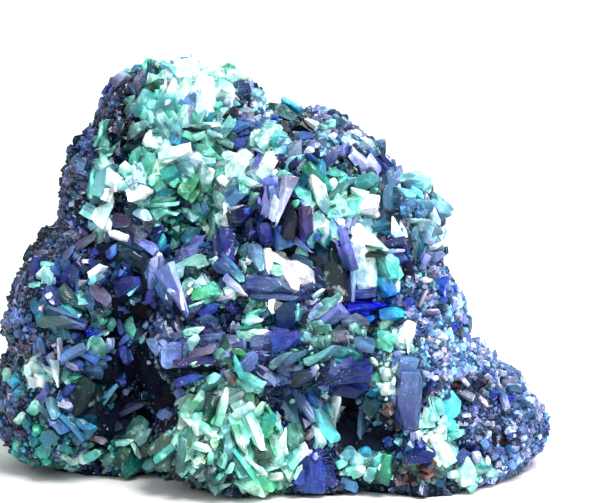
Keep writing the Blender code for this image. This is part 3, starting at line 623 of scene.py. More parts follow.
    ("petal pale_mint mint", -27.3, 8.9, -26.9, 9.9, 0.8, 0.6),
    ("blade pale_cyan grey_teal", -22.8, 7.0, -22.2, 5.0, 0.7, 0.2),
    ("blade steel grey_blue", -22.6, 4.9, -21.2, 3.6, 0.6, 0.2),
    ("blade steel teal", -21.6, 5.2, -19.4, 2.9, 0.5, 0.2),
    ("petal lilac steel", -22.8, 4.4, -22.3, 4.7, 0.4, 0.4),
    ("petal deep_green navy_black", -20.2, 5.6, -18.2, 8.5, 2.2),
    ("blade grey_teal teal", -18.2, 5.7, -16.1, 8.4, 0.5, 0.2),
    ("lozenge teal steel", -19.7, 4.2, -18.3, 4.0, 0.7),
    ("blade taupe limonite", -18.6, 3.1, -17.3, 2.5, 0.7),
    ("blade slate_violet navy_black", -15.8, 5.5, -13.6, 6.7, 0.8),
    ("blade slate_violet navy_black", -13.6, 6.5, -11.9, 5.7, 0.7),
    ("petal sage olive", -14.9, 3.2, -13.2, 4.6, 1.6),
    ("petal sage sage", -13.8, 2.5, -12.6, 3.9, 0.9),
    ("petal emerald deep_green", -15.8, 0.5, -15.0, 2.2, 1.5),
    ("lozenge pale_mint mint", -16.1, 2.4, -14.6, 2.6, 0.7, 0.3),
    ("lozenge pale_mint sage", -14.5, 2.5, -13.9, 0.9, 0.7, 0.3),
    ("petal sage sea_green", -19.0, 1.0, -17.6, 1.8, 1.0),
    ("petal sage olive", -17.4, 0.6, -16.4, 1.5, 0.9),
    ("petal sage sea_green", -23.9, 1.4, -22.9, 2.2, 1.1),
    ("petal grey_teal teal", -23.2, 2.6, -22.0, 3.6, 1.3),
    ("petal pale_cyan steel", -23.5, 3.1, -23.0, 3.5, 0.5, 0.4),
    ("petal emerald teal", -21.8, 2.2, -20.4, 1.7, 0.9),
    ("lozenge white_mint mint", -22.0, 1.5, -20.4, 0.8, 0.5, 0.3),
    ("petal white_mint mint", -20.6, 0.5, -19.8, 0.8, 0.6),
    ("petal grey_violet navy", -27.0, 3.0, -26.6, 4.2, 0.7),
    # the ledge
    ("petal heather violet", -9.4, 11.3, -11.7, 11.2, 2.4),
    ("slab heather taupe", -10.8, 12.9, -8.2, 13.3, 1.1),
    ("slab heather violet", -7.9, 12.8, -5.4, 12.9, 1.0),
    ("slab lilac grey_violet", -5.6, 12.8, -3.2, 12.5, 1.0, 0.5),
    ("blade heather slate_violet", -7.4, 12.1, -4.2, 12.2, 0.7),
    ("blade taupe plum", -8.8, 11.3, -6.4, 12.0, 0.7),
    ("lozenge white_mint mint", -9.2, 13.4, -7.4, 14.0, 0.8, 0.4),
    ("petal pale_mint sage", -8.8, 11.7, -8.2, 13.2, 0.8, 0.4),
    ("blade indigo plum", -10.2, 10.6, -6.2, 10.9, 0.7),
    ("blade white sage", -8.6, 10.3, -7.9, 10.5, 0.4, 0.3),
    ("blade white_mint sage", -7.2, 10.3, -6.4, 10.7, 0.4, 0.3),
    ("slab sage olive", -6.2, 11.1, -5.0, 11.4, 0.9),
    ("slab bright_green olive", -4.4, 11.6, -3.1, 11.4, 0.7),
    ("blade turquoise sea_green", -3.6, 9.2, -4.5, 11.1, 0.6, 0.4),
    ("slab violet heather", -2.2, 12.7, 0.4, 12.6, 1.8),
    ("slab violet royal", -0.2, 12.2, 2.4, 12.9, 1.8),
    ("blade sage grey_teal", -0.6, 10.2, 1.4, 11.4, 0.7, 0.2),
    ("blade grey_teal grey_blue", 0.9, 10.6, 2.8, 11.9, 0.8),
    ("blade grey_teal sage", 3.0, 10.6, 6.2, 12.0, 0.9),
    ("petal lilac heather", 3.3, 9.5, 4.0, 10.1, 0.6, 0.2),
    ("slab slate_violet navy_black", 1.6, 9.0, 3.7, 9.2, 1.5),
    ("slab indigo grey_violet", 0.4, 9.7, 1.2, 8.6, 0.9),
    ("slab indigo grey_violet", 5.2, 10.4, 5.9, 8.6, 1.4),
    ("slab sage olive", 3.0, 13.4, 5.4, 13.8, 1.1),
    ("slab taupe olive", 5.2, 12.9, 7.2, 12.7, 1.1),
    ("slab grey_blue grey_violet", 7.2, 12.4, 9.6, 12.2, 1.3),
    ("slab royal indigo", -10.0, 8.5, -7.4, 9.3, 0.8),
    ("petal steel lavender", -10.2, 7.5, -9.1, 8.0, 1.1),
    ("slab heather taupe", -1.8, 9.6, 0.0, 8.5, 1.0),
    ("slab limonite taupe", -5.0, 9.6, -4.0, 8.5, 0.7),
    # the malachite fan and the foot
    ("petal white mint", -6.0, 4.6, -5.1, 7.7, 0.7, 0.8),
    ("blade white mint", -6.7, 7.0, -5.6, 7.7, 0.6, 1.4),
    ("slab white_mint pale_mint", -9.6, 5.9, -7.6, 7.3, 1.6, 1.3),
    ("slab pale_mint bright_green", -8.2, 6.0, -7.0, 7.6, 1.2, 0.9),
    ("blade deep_green emerald", -7.2, 4.8, -6.2, 6.8, 0.7, 0.6),
    ("petal white_mint bright_green", -9.6, 5.4, -8.6, 4.2, 0.7, 0.6),
    ("slab white_mint mint", -8.3, 5.2, -7.6, 3.4, 0.8, 0.5),
    ("slab white_mint mint", -7.6, 4.2, -6.0, 2.6, 0.7, 0.7),
    ("blade white_mint bright_green", -6.3, 2.9, -6.4, 1.8, 0.6, 0.6),
    ("blade white_mint mint", -8.2, 2.2, -6.7, 1.8, 0.7, 0.7),
    ("petal mint bright_green", -6.8, 0.6, -6.6, 1.6, 0.6, 0.7),
    ("blade white_mint bright_green", -4.3, 4.0, -3.1, 1.4, 0.7, 0.8),
    ("blade white_mint mint", -2.9, 5.0, -1.5, 1.9, 0.9, 0.8),
    ("slab white_mint pale_mint", -4.2, 5.3, -2.2, 6.2, 1.2, 1.0),
    ("slab white_mint pale_mint", -4.6, 6.6, -3.2, 7.5, 1.2, 1.5),
    ("blade white_mint mint", -2.2, 5.3, -1.3, 6.4, 0.7, 0.7),
    ("petal sea_green bright_green", -1.5, 3.4, -0.7, 5.3, 1.4, 0.5),
    ("blade mint bright_green", -1.0, 6.0, 0.0, 4.0, 0.5, 0.5),
    ("petal white_mint mint", -0.1, 4.0, 0.0, 4.9, 0.5, 0.6),
    ("blade bright_green emerald", -0.9, 3.2, -0.3, 1.2, 0.5, 0.5),
    ("slab sage sage", -5.2, 1.2, -4.8, 4.0, 1.2, 0.1),
    ("blade white_mint mint", -3.1, 1.0, -1.3, -0.7, 0.7, 0.8),
    ("slab white_mint bright_green", -1.7, -1.0, 0.6, -0.9, 0.9, 0.9),
    ("slab white_mint mint", -1.0, 0.1, 0.5, 0.6, 0.7, 0.7),
    ("slab white mint", 0.2, 0.6, 0.5, 3.7, 0.7, 0.7),
    ("blade bright_green sea_green", -4.3, 1.6, -2.0, -1.4, 0.6, 0.5),
    ("slab olive deep_green", -2.1, 1.1, -0.9, 1.4, 0.9, 1.2),
    ("blade white mint", 1.3, 0.3, 2.8, 2.1, 0.7, 0.7),
    ("blade white mint", 1.7, -1.0, 2.4, 0.0, 0.6, 0.7),
    ("slab sea_green sage", -7.8, 7.6, -6.0, 8.8, 1.2),
    ("petal mint sage", -6.7, 8.5, -5.6, 9.2, 0.8, 0.5),
    ("slab mint sea_green", -3.6, 9.2, -1.5, 7.9, 1.1, 0.5),
    ("blade sage olive", -2.9, 7.9, -1.0, 6.4, 0.6, 0.5),
    ("blade sage olive", -12.6, 1.6, -10.2, 3.8, 1.0),
    ("blade sage sea_green", -12.1, 0.8, -9.9, 2.5, 0.8, 0.5),
    ("blade sage olive", -9.9, -0.2, -9.5, 3.0, 0.8, 0.5),
    ("blade sage sage", -8.9, 1.6, -9.3, 4.4, 0.7),
    ("petal mint sage", -9.7, -0.4, -8.8, 0.2, 0.9, 0.7),
    ("petal pale_mint mint", -8.7, -0.4, -8.3, 0.0, 0.5, 0.7),
    ("blade sage mint", -5.7, 0.2, -5.3, 1.4, 0.7),
    ("petal pale_mint mint", -5.0, -0.4, -4.5, 0.4, 0.5, 0.7),
    ("petal mint emerald", -6.1, -1.1, -5.4, -0.6, 0.5, 0.7),
    ("slab grey_teal grey_teal", 0.2, 7.7, 1.9, 4.5, 2.1, 0.3),
    ("slab olive sage", 1.2, 4.1, 1.6, 1.5, 1.3),
    ("petal pale_mint sage", 1.3, 6.5, 1.7, 6.8, 0.4, 0.8),
    ("blade heather indigo", 1.6, 7.9, 3.6, 4.8, 0.9, 0.5),
    ("blade steel cerulean", 3.0, 7.5, 3.9, 6.0, 0.6, 0.6),
    ("blade turquoise pale_cyan", 3.7, 6.2, 5.6, 2.8, 1.0, 0.5),
    ("petal taupe limonite", 2.9, 3.0, 3.4, 3.7, 0.5, 0.6),
    ("blade white pale_cyan", 5.3, 4.5, 5.9, 7.5, 0.6, 0.6),
    ("blade pale_mint turquoise", 5.0, 6.2, 5.4, 5.0, 0.4, 0.6),
    ("slab violet royal", 3.7, -1.9, 3.5, 2.1, 2.8),
    ("dagger indigo royal", 2.2, -1.5, 2.9, -0.1, 1.1, 0.7),
    ("petal lilac lavender", 3.0, 1.3, 3.4, 1.7, 0.4, 0.8),
    ("petal lilac lavender", 3.6, 1.0, 3.9, 1.3, 0.4, 0.8),
    ("blade white_mint sage", 3.7, 2.0, 4.2, 3.0, 0.5, 0.6),
    ("lozenge rose_grey teal", 7.9, 6.6, 8.8, 7.2, 0.5),
    ("blade grey_teal dark_teal", 8.6, 6.2, 8.3, 3.0, 0.7),
    ("petal dark_teal deep_green", 9.2, 5.4, 10.2, 6.6, 1.2),
    ("petal pale_cyan teal", 6.4, 1.2, 7.6, 1.8, 0.9),
    ("petal turquoise mint", 5.9, 0.4, 7.0, 0.7, 0.8),
    ("petal pale_mint mint", 7.4, -0.4, 8.6, 0.2, 1.0),
]
# What grows where on the front: style and mix, (across, up) of the middle, (half width, half height), and for
# some the clockwise roll that the crystals keep to.
# The hollow zones of the black mix are painted shade: dark crystals where the hollows lie in shadow.
ZONES = {
    # the pale peak
    "peak_top": ("silk pale", (-8.2, 38.2), (4.2, 2.4)),
    "peak_face": ("silk sage_mint", (-9.5, 35.3), (5, 2.6)),
    "peak_white": ("silk pale", (-7.3, 37.2), (1.6, 2.6)),
    "peak_green": ("silk emerald", (-12.2, 38.2), (1.5, 2.2)),
    "peak_green_right": ("silk pale", (-5, 38.2), (1.3, 1.2)),
    "peak_lavender": ("block silver", (-3, 37.2), (1.1, 1.8)),
    "peak_druse": ("druse silver", (-1.8, 35.6), (2.2, 1.8)),
    "peak_slate": ("blade slate", (-8.8, 36.4), (1.1, 1.2)),
    "peak_violet": ("leaf pale_cyan", (-10.6, 37.8), (0.8, 0.8)),
    # the dark left rim
    "rim_top": ("druse rim", (-17.4, 36.8), (4.2, 4.2)),
    "rim_upper": ("druse rim", (-20.4, 30.5), (3.4, 5)),
    "rim_middle": ("druse rim", (-20.8, 25), (3, 3.4)),
    "rim_royal": ("block royal", (-21.3, 26.3), (0.9, 0.9)),
    "olive_pocket": ("block deep_green", (-14.2, 33.6), (1.3, 1.8)),
    "mint_streak": ("leaf mint", (-17.4, 33.2), (0.8, 1.9)),
    "dark_column": ("block black", (-16, 32.2), (1.2, 2.2)),
    "green_column": ("leaf sage", (-17.2, 29.2), (1.5, 3)),
    "dark_groove": ("block black", (-15.5, 26.6), (1.1, 2)),
    "pale_crescent": ("silk pale", (-17.4, 25), (1, 1.6)),
    "pale_crescent_low": ("silk rim", (-15.8, 23.4), (1.2, 1.4)),
    "left_rim": ("druse rim", (-24.3, 21.8), (3, 4)),
    "left_rim_middle": ("druse rim", (-26.2, 15), (2.4, 5)),
    "left_rim_low": ("druse rim", (-27.2, 8), (1.8, 5)),
    # the upper middle
    "mint_cluster": ("silk bright_mint", (-13, 30.2), (1.7, 2.2)),
    "mint_bands": ("silk pale", (-9.8, 31.9), (2.4, 1.3)),
    "teal_lens": ("leaf teal", (-10.3, 33.5), (1.7, 1.2)),
    "emerald_spot": ("leaf emerald", (-8.6, 33.3), (0.9, 0.8)),
    "purple_oval": ("blade navy", (-9, 27.3), (1.1, 1.2)),
    "teal_soft": ("silk bright_mint", (-9, 29.6), (2.8, 1.4)),
    "white_left": ("silk pale", (-13.9, 27.4), (1.3, 0.9)),
    "striped_green": ("lamella emerald", (-11.6, 26.2), (1.9, 1.7), 60),
    "pale_blocks": ("silk pale", (-4, 30.4), (2.2, 1.6)),
    "mint_saddle": ("silk mint", (-6.2, 27.6), (1.8, 1.6)),
    "pale_blocks_right": ("silk pale", (-1.1, 32.6), (1.3, 1.2)),
    "steel_upper": ("blade steel", (-4.1, 34.2), (1.6, 0.9), 70),
    "olive_face": ("blade olive", (-3.9, 32.5), (1.5, 0.9)),
    "violet_strip": ("blade violet", (-2.2, 30.8), (0.6, 1)),
    "turquoise_strip": ("leaf turquoise", (0, 32.8), (0.6, 1)),
    "mint_below": ("leaf bright_mint", (-6.6, 25.2), (1.6, 1.2)),
    # the dome
    "olive_crest": ("block olive", (1.2, 35.9), (2.2, 1.1)),
    "dome_black": ("block black", (1.6, 34.4), (1.3, 1)),
    "dome_white": ("leaf pale", (3.2, 34.4), (0.9, 0.7)),
    "dome_rim": ("block silver", (4.4, 35.1), (2, 1.2)),
    "mauve_kite": ("blade lavender", (1.7, 31), (1, 1.9)),
    "royal_strip": ("blade royal", (3.3, 31), (0.9, 0.8)),
    "teal_diagonal": ("leaf teal", (3.7, 29.2), (1.8, 1.5)),
    "dome_olive": ("leaf steel", (6.8, 30.9), (1.5, 1)),
    "dome_druse": ("druse silver", (5, 32.6), (2.4, 1.5)),
    "dome_mint": ("leaf mint", (5.8, 29.2), (1.1, 0.8)),
    "navy_speckle": ("block steel", (10.3, 30.6), (1.5, 1)),
    "right_rim": ("silk pale_cyan", (11, 28.8), (2.9, 2.9)),
    "right_rim_low": ("silk pale_cyan", (14.8, 25), (2.5, 3)),
    "right_rim_violet": ("block silver", (15.4, 21.4), (2, 1.6)),
    "right_violet": ("block violet", (11.9, 31.4), (0.9, 0.8)),
    "right_violet_low": ("block violet", (15.9, 25.8), (0.8, 0.9)),
    "grey_slab": ("blade grey_teal", (11.1, 26.7), (1.3, 3), 175),
    "dark_slab": ("blade dark_teal", (13.5, 23), (1, 2.8), 170),
    "navy_notch": ("blade royal", (12, 22.3), (1.2, 1.6)),
    "lavender_band": ("blade lavender", (0.4, 26.8), (2.8, 2)),
    "dome_navy": ("blade navy", (-2.8, 25.4), (1.8, 1.8)),
    "white_sage": ("leaf sage_mint", (3.6, 27.6), (1.4, 1.6), 150),
    "dome_dark": ("block slate", (1.4, 25.2), (1.2, 1.6)),
    "mint_dots": ("leaf mint", (5.7, 26), (1.3, 1.1)),
    "white_patch": ("leaf pale", (8.4, 26.2), (2, 1.3)),
    "teal_patch": ("leaf teal", (8.8, 28), (1.5, 1.2)),
    # the middle
    "lilac_area": ("blade navy_royal", (-12.8, 22.3), (1.8, 1.5), 119),
    "sky_area": ("blade steel", (-12, 19.8), (1.4, 1.6)),
    "dagger_area": ("blade violet", (-10.4, 17.2), (1.7, 2.4), 152),
    "olive_band": ("blade olive", (-8.8, 19.9), (2, 1), 59),
    "violet_band": ("blade violet", (-8.8, 21.8), (2, 1.1), 55),
    "emerald_lens": ("leaf teal", (-9.4, 24.1), (0.9, 0.8)),
    "teal_tip": ("leaf teal", (-8.2, 23.4), (1.2, 0.9)),
    "mint_lens": ("leaf mint", (-7, 17.6), (1.4, 0.9), 80),
    "dark_violet": ("blade navy_royal", (-5.5, 22.2), (1.5, 1.6), 175),
    "steel_area": ("blade steel", (-4.7, 19.4), (1.6, 1.5), 142),
    "white_facets": ("leaf pale", (-4.3, 18.3), (1, 0.9)),
    "grey_plate": ("blade sage", (-2.4, 20.6), (1.3, 1.4)),
    "white_plate": ("leaf sage_mint", (1.2, 19.7), (2.5, 1.9), 129),
    "mauve_slab": ("blade mauve", (-0.5, 18), (2.8, 1.1), 100),
    "slate_navy": ("blade navy_royal", (4.4, 19), (1, 1.3)),
    "white_shard": ("leaf pale", (4.4, 17.5), (0.6, 0.6)),
    "tall_dark": ("blade deep_green", (5.6, 20.2), (1.5, 3.2), 8),
    "sea_wedge": ("leaf mint", (4.9, 24), (1, 1.3)),
    "royal_wedge": ("blade royal", (2, 22.5), (1.5, 1), 115),
    "steel_boxes": ("blade steel", (0.4, 22.9), (1.1, 1)),
    "indigo_boxes": ("blade navy_royal", (-1.1, 23.8), (1, 1.1)),
    "middle_dark": ("hollow black", (0.3, 21.8), (3.2, 0.6)),
    "tip_dark": ("hollow black", (-7, 19.6), (1.3, 1.5)),
    "strip_dark": ("hollow black", (-3.9, 21.2), (0.7, 1.3)),
    "notch_dark": ("hollow black", (13.4, 19.4), (1.1, 0.6)),
    "pillar_dark": ("hollow black", (-17, 2.8), (0.9, 1.4)),
    "ledge_shadow": ("hollow black", (-7.8, 10), (2.4, 0.4)),
    "violet_edge": ("blade royal", (6.9, 20.4), (0.9, 3), 170),
    "tall_pale": ("leaf pale_cyan", (8.8, 21), (1.5, 3.2), 176),
    "navy_foot": ("blade navy_royal", (8.7, 17.6), (1.2, 1.1)),
    "cerulean_slab": ("blade cerulean", (11, 19), (1.4, 2.4), 170),
    "flash": ("blade ultramarine", (7.9, 16.1), (2.4, 0.8), 96),
    "flash_cyan": ("blade bright_cyan", (11.2, 15.9), (1.3, 0.9), 96),
    "teardrop": ("leaf pale", (12.8, 13.4), (0.9, 1.3)),
    "mint_green": ("leaf bright_mint", (10.9, 12.6), (1.1, 1.2)),
    "dark_hole": ("block navy_royal", (-4.5, 15.3), (1.3, 1)),
    "mint_ovals": ("leaf bright_mint", (-2.1, 15), (1.3, 1.3)),
    "teal_middle": ("blade dark_teal", (1, 15.2), (1.3, 1.5)),
    "split_area": ("blade lavender", (4.3, 15.6), (2.2, 1.5), 57),
    # the left
    "navy_posts": ("blade navy_royal", (-24.2, 19.8), (1, 1.5), 4),
    "pale_post": ("leaf pale_cyan", (-22.8, 19.8), (0.9, 1.2)),
    "royal_arc": ("blade royal", (-20.6, 19.2), (1.6, 1.8), 12),
    "left_teal": ("leaf teal", (-19.5, 16.5), (2.2, 1.5), 105),
    "left_sage": ("leaf grey_teal", (-21.6, 14.8), (2.3, 1.4), 115),
    "left_navy": ("blade navy_royal", (-22.8, 16.8), (1.4, 1)),
    "left_violet": ("blade violet", (-18.5, 14), (0.9, 0.9)),
    "grey_lens": ("blade mauve", (-17.8, 17.3), (1.4, 1.3)),
    "navy_lens": ("blade navy", (-14.9, 18), (1.4, 1)),
    "left_dark": ("hollow black", (-14.6, 16), (2.6, 2.6)),
    "shoulder_dark": ("hollow black", (-18.2, 21.6), (1.9, 1.3)),
    "indigo_sprigs": ("blade navy_royal", (-19.8, 11.6), (2.4, 1.5), 108),
    "green_blade": ("leaf dark_teal", (-14.7, 13.7), (1, 1.5), 165),
    "royal_below": ("blade royal", (-15.4, 11.7), (0.8, 0.9)),
    "big_hollow": ("hollow black", (-14, 6.8), (4.4, 5.2)),
    "corner_cyan": ("leaf pale", (-22.2, 9.3), (1.3, 1.4)),
    "corner_mint": ("leaf pale", (-24.7, 9.8), (1, 1.2)),
    "corner_violet": ("blade violet", (-21, 7.8), (0.9, 0.8)),
    "corner_green": ("leaf bright_mint", (-20, 9.3), (1, 0.8)),
    "corner_specks": ("block grey_teal", (-26, 8.8), (1.2, 2)),
    "blue_curves": ("blade steel", (-22.3, 6.1), (1.2, 1.6)),
    "botryoidal": ("ball botryoidal", (-22.8, 2.8), (3.2, 2.2)),
    "mint_strip": ("leaf pale", (-20.7, 1), (1.2, 0.5)),
    "needles": ("blade dark_teal", (-19.4, 4.2), (1.5, 1), 128),
    "teal_needle": ("blade dark_teal", (-17, 7), (1.4, 1.6), 44),
    "mint_cubes": ("leaf sage_mint", (-13.8, 3.5), (1.6, 1.4)),
    "emerald_cubes": ("leaf emerald", (-15.4, 1.5), (1.7, 1.4)),
    "sage_roots": ("lamella olive", (-11.6, 1.6), (2.2, 2.2), 200),
    # the ledge
    "ledge_violet": ("blade mauve", (-7.5, 12.3), (4.5, 2.2), 84),
    "ledge_mint": ("leaf bright_mint", (-8.6, 13), (0.9, 1.3)),
    "ledge_royal": ("blade royal", (-0.3, 12.7), (2.5, 1.1), 84),
    "ledge_olive": ("block olive", (5.2, 13.2), (3, 1.2)),
    "ledge_slate": ("block steel", (9, 12), (1.1, 0.9)),
    "ledge_teal": ("blade teal", (5.2, 11.1), (3, 0.7), 90),
    "indigo_slab": ("blade violet", (7.3, 9.4), (2.7, 1.4), 80),
    "navy_block": ("blade navy", (3.1, 8.7), (1.1, 1)),
    "moss": ("leaf olive", (-4.5, 11.3), (2, 0.7)),
    # the malachite fan and what lies round it
    "turquoise_streak": ("leaf turquoise", (-4.2, 10), (0.9, 0.4)),
    "violet_shadow": ("blade steel", (-9.6, 8.1), (1, 1.2)),
    "fan_foot": ("leaf olive", (-6.5, -0.8), (3, 1.2)),
    "fan_foot_right": ("lamella bright_mint", (-1.5, -1.5), (2, 1), 120),
    "fan_left": ("lamella bright_mint", (-7.8, 4.6), (2.2, 4), 200),
    "fan_dark": ("lamella deep_green", (-6.6, 5.4), (0.7, 1.4), 190),
    "fan_top": ("lamella bright_mint", (-4, 6.2), (2.2, 2.4), 178),
    "fan_middle": ("lamella bright_mint", (-2.6, 2.6), (2.6, 3), 162),
    "fan_right": ("lamella bright_mint", (0.6, 1), (2, 2), 155),
    "sage_slab": ("blade dark_teal", (0.8, 5.5), (1.6, 2)),
    "mauve_ridge": ("blade slate", (0.3, 8.3), (2.2, 1.5), 60),
    "cross_blue": ("blade steel", (3.6, 7.3), (0.8, 0.8)),
    "cross_cyan": ("blade pale_cyan", (4.6, 4.6), (1.2, 2.4), 148),
    "cross_white": ("leaf pale", (5.6, 5.8), (0.8, 1.4), 14),
    "right_hollow": ("hollow black", (7.4, 5.2), (1.5, 3)),
    "right_hollow_low": ("hollow black", (10.3, 3.7), (1.4, 0.9)),
    "slate_teal": ("blade grey_teal", (9.6, 5.7), (1.2, 1.8)),
    "indigo_prism": ("blade navy_royal", (4, 0.6), (2, 2)),
    "base_balls": ("ball mint", (7.9, 0.4), (1.8, 1)),
    "base_emerald": ("leaf emerald", (10.7, 0.3), (1, 1.2)),
    "base_brown": ("block limonite", (13.7, 0), (1.8, 1)),
    "base_rim": ("silk sage_mint", (19, -0.2), (3, 0.8)),
    # the right
    "sugar": ("block pale", (10.8, 9), (1.1, 1.7)),
    "lavender_tower": ("blade lavender", (13, 7.6), (1.5, 3.8), 6),
    "brown_patch": ("block limonite", (11.7, 4.8), (0.7, 0.7)),
    "silver_druse": ("druse sparkle", (15.4, 19), (2.2, 1.2)),
    "sparkle_upper": ("druse sparkle", (14.5, 14.5), (3, 3.6)),
    "sparkle_lower": ("druse sparkle", (17.6, 10.5), (3.4, 3.4)),
    "bright_spot_a": ("block ultramarine", (13.2, 16.8), (0.5, 0.5)),
    "bright_spot_b": ("block ultramarine", (16.7, 17.5), (0.5, 0.5)),
    "bright_spot_c": ("block ultramarine", (17.7, 14.3), (0.5, 0.5)),
    "turquoise_knob": ("ball turquoise", (17.1, 6.2), (1.4, 1.6)),
    "turquoise_left": ("leaf mint", (15, 5), (1.2, 1.3)),
    "pale_plate": ("leaf pale", (16.3, 1.7), (1.4, 1.4)),
    "royal_cluster": ("block royal", (19.4, 1.5), (1.8, 0.9)),
    "navy_box": ("blade royal", (14.2, 1.4), (1.5, 0.8)),
    "knob": ("druse knob", (22.8, 6), (5, 5.6)),
    "knob_hole": ("hollow black", (21.6, 3), (1, 1.7)),
    "knob_violet": ("block violet", (23.3, 7.2), (0.9, 1.2)),
}
OPEN_GROUND = ("blade ground", (0, 0), (1, 1))
# What grows on the sides and the back: style and mix, middle, reach.
PATCHES = {
    "back_druse": ("druse rim", (0, 16, 14), 9),
    "back_blades": ("blade navy_royal", (8, 14, 21), 6),
    "back_mint": ("leaf bright_mint", (-8.5, 14, 18), 5.5),
    "back_balls": ("ball botryoidal", (10, 14, 12), 5),
    "back_iron": ("block limonite", (2, 17, 3.5), 5),
    "back_green": ("leaf emerald", (-16, 13, 9), 4.5),
    "back_peak": ("silk mint", (-9, 8, 38), 6),
    "back_peak_blue": ("block violet", (-13, 9, 31), 4.5),
    "back_royal": ("blade royal", (-1, 14, 27), 4.5),
    "back_foot": ("block slate", (-10, 14, 3), 5),
    # Painted shade: dark crystals in the back vug.
    "back_vug": ("hollow black", (1.2, 15, 17.5), 3.2),
    "right_side": ("druse sparkle", (20, 2, 14), 6),
    "right_side_mint": ("leaf teal", (17, 8, 20), 4.5),
    "knob_side": ("druse knob", (27, 3, 5), 7),
    "knob_back": ("leaf sage", (22, 10, 5), 4),
    "left_side": ("druse rim", (-27, 4, 14), 8),
    "left_side_blue": ("blade navy_royal", (-23, 10, 19), 4.5),
    "left_side_mint": ("silk mint", (-26, 6, 6), 3.6),
    "left_peak": ("druse rim", (-19, 3, 32), 7),
    "top_saddle": ("silk mint", (-4, 3, 35), 4),
    "top_dome": ("druse slate", (4, 4, 34), 5),
    "top_dome_right": ("silk pale_cyan", (11, 1, 30), 5),
    "top_peak": ("silk pale", (-8, 0, 40), 5),
}


# ---- settings ----


def colour_property(name):
    digits, words = COLOURS[name]
    shown = [int(digits[k : k + 2], 16) / 255 for k in (0, 2, 4)]
    linear = [c / 12.92 if c < 0.04045 else ((c + 0.055) / 1.055) ** 2.4 for c in shown]
    return FloatVectorProperty(
        name=name.replace("_", " ").capitalize(),
        description="Colour of " + words,
        subtype="COLOR",
        min=0.0,
        max=1.0,
        default=linear,
    )


def length_property(name, words, value):
    return FloatProperty(name=name, description=words, default=value * MM, min=0.0, unit="LENGTH")


SpecimenColours = type(
    "SpecimenColours",
    (bpy.types.PropertyGroup,),
    {
        "__doc__": "Colours of the minerals.",
        "__annotations__": {name: colour_property(name) for name in COLOURS},
    },
)


class SpecimenSizes(bpy.types.PropertyGroup):
    """Sizes of the lump and its crystals."""

    voxel: length_property("Lump detail", "Fineness of the lump's surface", 0.36)
    swell: length_property("Lump swell", "How far the lump is grown beyond its lobes", 0.25)
    lift: length_property("Blade lift", "How far the placed blades stand clear of the lump", 0.95)
    clear: length_property("Blade margin", "Border of a placed blade that others may overlap", 0.2)
    shade: length_property("Shaded border", "Border round a placed blade where the others are darker", 0.35)
    gap: length_property("Blade gap", "Border round a placed blade where only small crystals grow", 0.1)
    wear: length_property("Blade wear", "How far the surface of the placed blades is etched", 0.16)
    companions: IntProperty(
        name="Companions",
        description="Smaller parallel crystals beside each crust crystal",
        default=2,
        min=0,
        max=6,
    )
    seed: IntProperty(name="Seed", description="Seed of every random choice", default=SEED, min=1)


class SpecimenStage(bpy.types.PropertyGroup):
    """The floor and lights."""

    floor: length_property("Floor radius", "Radius of the floor", 4000)
    sun: FloatProperty(name="Key brightness", description="Strength of the soft key light", default=3.6)
    softbox: length_property("Softbox size", "Width of the large light", 400)
    radiance: FloatProperty(name="Softbox brightness", description="Strength of the large light", default=2.0)
    sky: FloatProperty(name="Sky brightness", description="Brightness of the surroundings", default=0.41)


GROUPS = {
    "specimen_colours": SpecimenColours,
    "specimen_sizes": SpecimenSizes,
    "specimen_stage": SpecimenStage,
}


# ---- shader maths ----


class Wire:
    """A shader socket that can be reckoned with like a number."""

    def __init__(self, graph, socket):
        self.graph, self.socket = graph, socket

    def maths(self, operation, *values):
        made = self.graph.add("ShaderNodeMath", {"operation": operation}, dict(enumerate(values)))
        return made["Value"]

    def __add__(self, other):
        return self.maths("ADD", self, other)

    def __sub__(self, other):
        return self.maths("SUBTRACT", self, other)

    def __rsub__(self, other):
        return self.maths("SUBTRACT", other, self)

    def __mul__(self, other):
        return self.maths("MULTIPLY", self, other)

    def __truediv__(self, other):
        return self.maths("DIVIDE", self, other)

    __radd__ = __add__
    __rmul__ = __mul__

    def past(self, edge, width):
        """0 below edge, rising to 1 over width."""
        ramp = self.graph.add(
            "ShaderNodeMapRange", {"interpolation_type": "SMOOTHSTEP"}, {0: self, 1: edge, 2: edge + width}
        )
        return ramp["Result"]


class Graph:
    """The node tree of one material or world."""

    def __init__(self, owner):
        owner.use_nodes = True
        self.tree = owner.node_tree
        self.tree.nodes.clear()

    def add(self, kind, settings=None, inputs=None):
        """Adds a node and returns its outputs by name, the first of those that share a name."""
        node = self.tree.nodes.new(kind)
        for key, value in (settings or {}).items():
            setattr(node, key, value)
        for key, value in (inputs or {}).items():
            if isinstance(value, Wire):
                self.tree.links.new(value.socket, node.inputs[key])
            else:
                node.inputs[key].default_value = value
        return {s.name: Wire(self, s) for s in reversed(node.outputs) if s.enabled}

    def mix(self, factor, first, second, blend="MIX"):
        settings = {"data_type": "RGBA", "blend_type": blend, "clamp_factor": True}
        return self.add("ShaderNodeMix", settings, {0: factor, 6: first, 7: second})["Result"]

    def scaled(self, colour, by):
        return self.add("ShaderNodeVectorMath", {"operation": "SCALE"}, {0: colour, 3: by})["Vector"]

    def noise(self, place, scale, detail=2.0, rough=0.5):
        inputs = {"Vector": place, "Scale": scale, "Detail": detail, "Roughness": rough}
        return self.add("ShaderNodeTexNoise", None, inputs)["Fac"]

    def attribute(self, name, output):
        return self.add("ShaderNodeAttribute", {"attribute_name": name})[output]


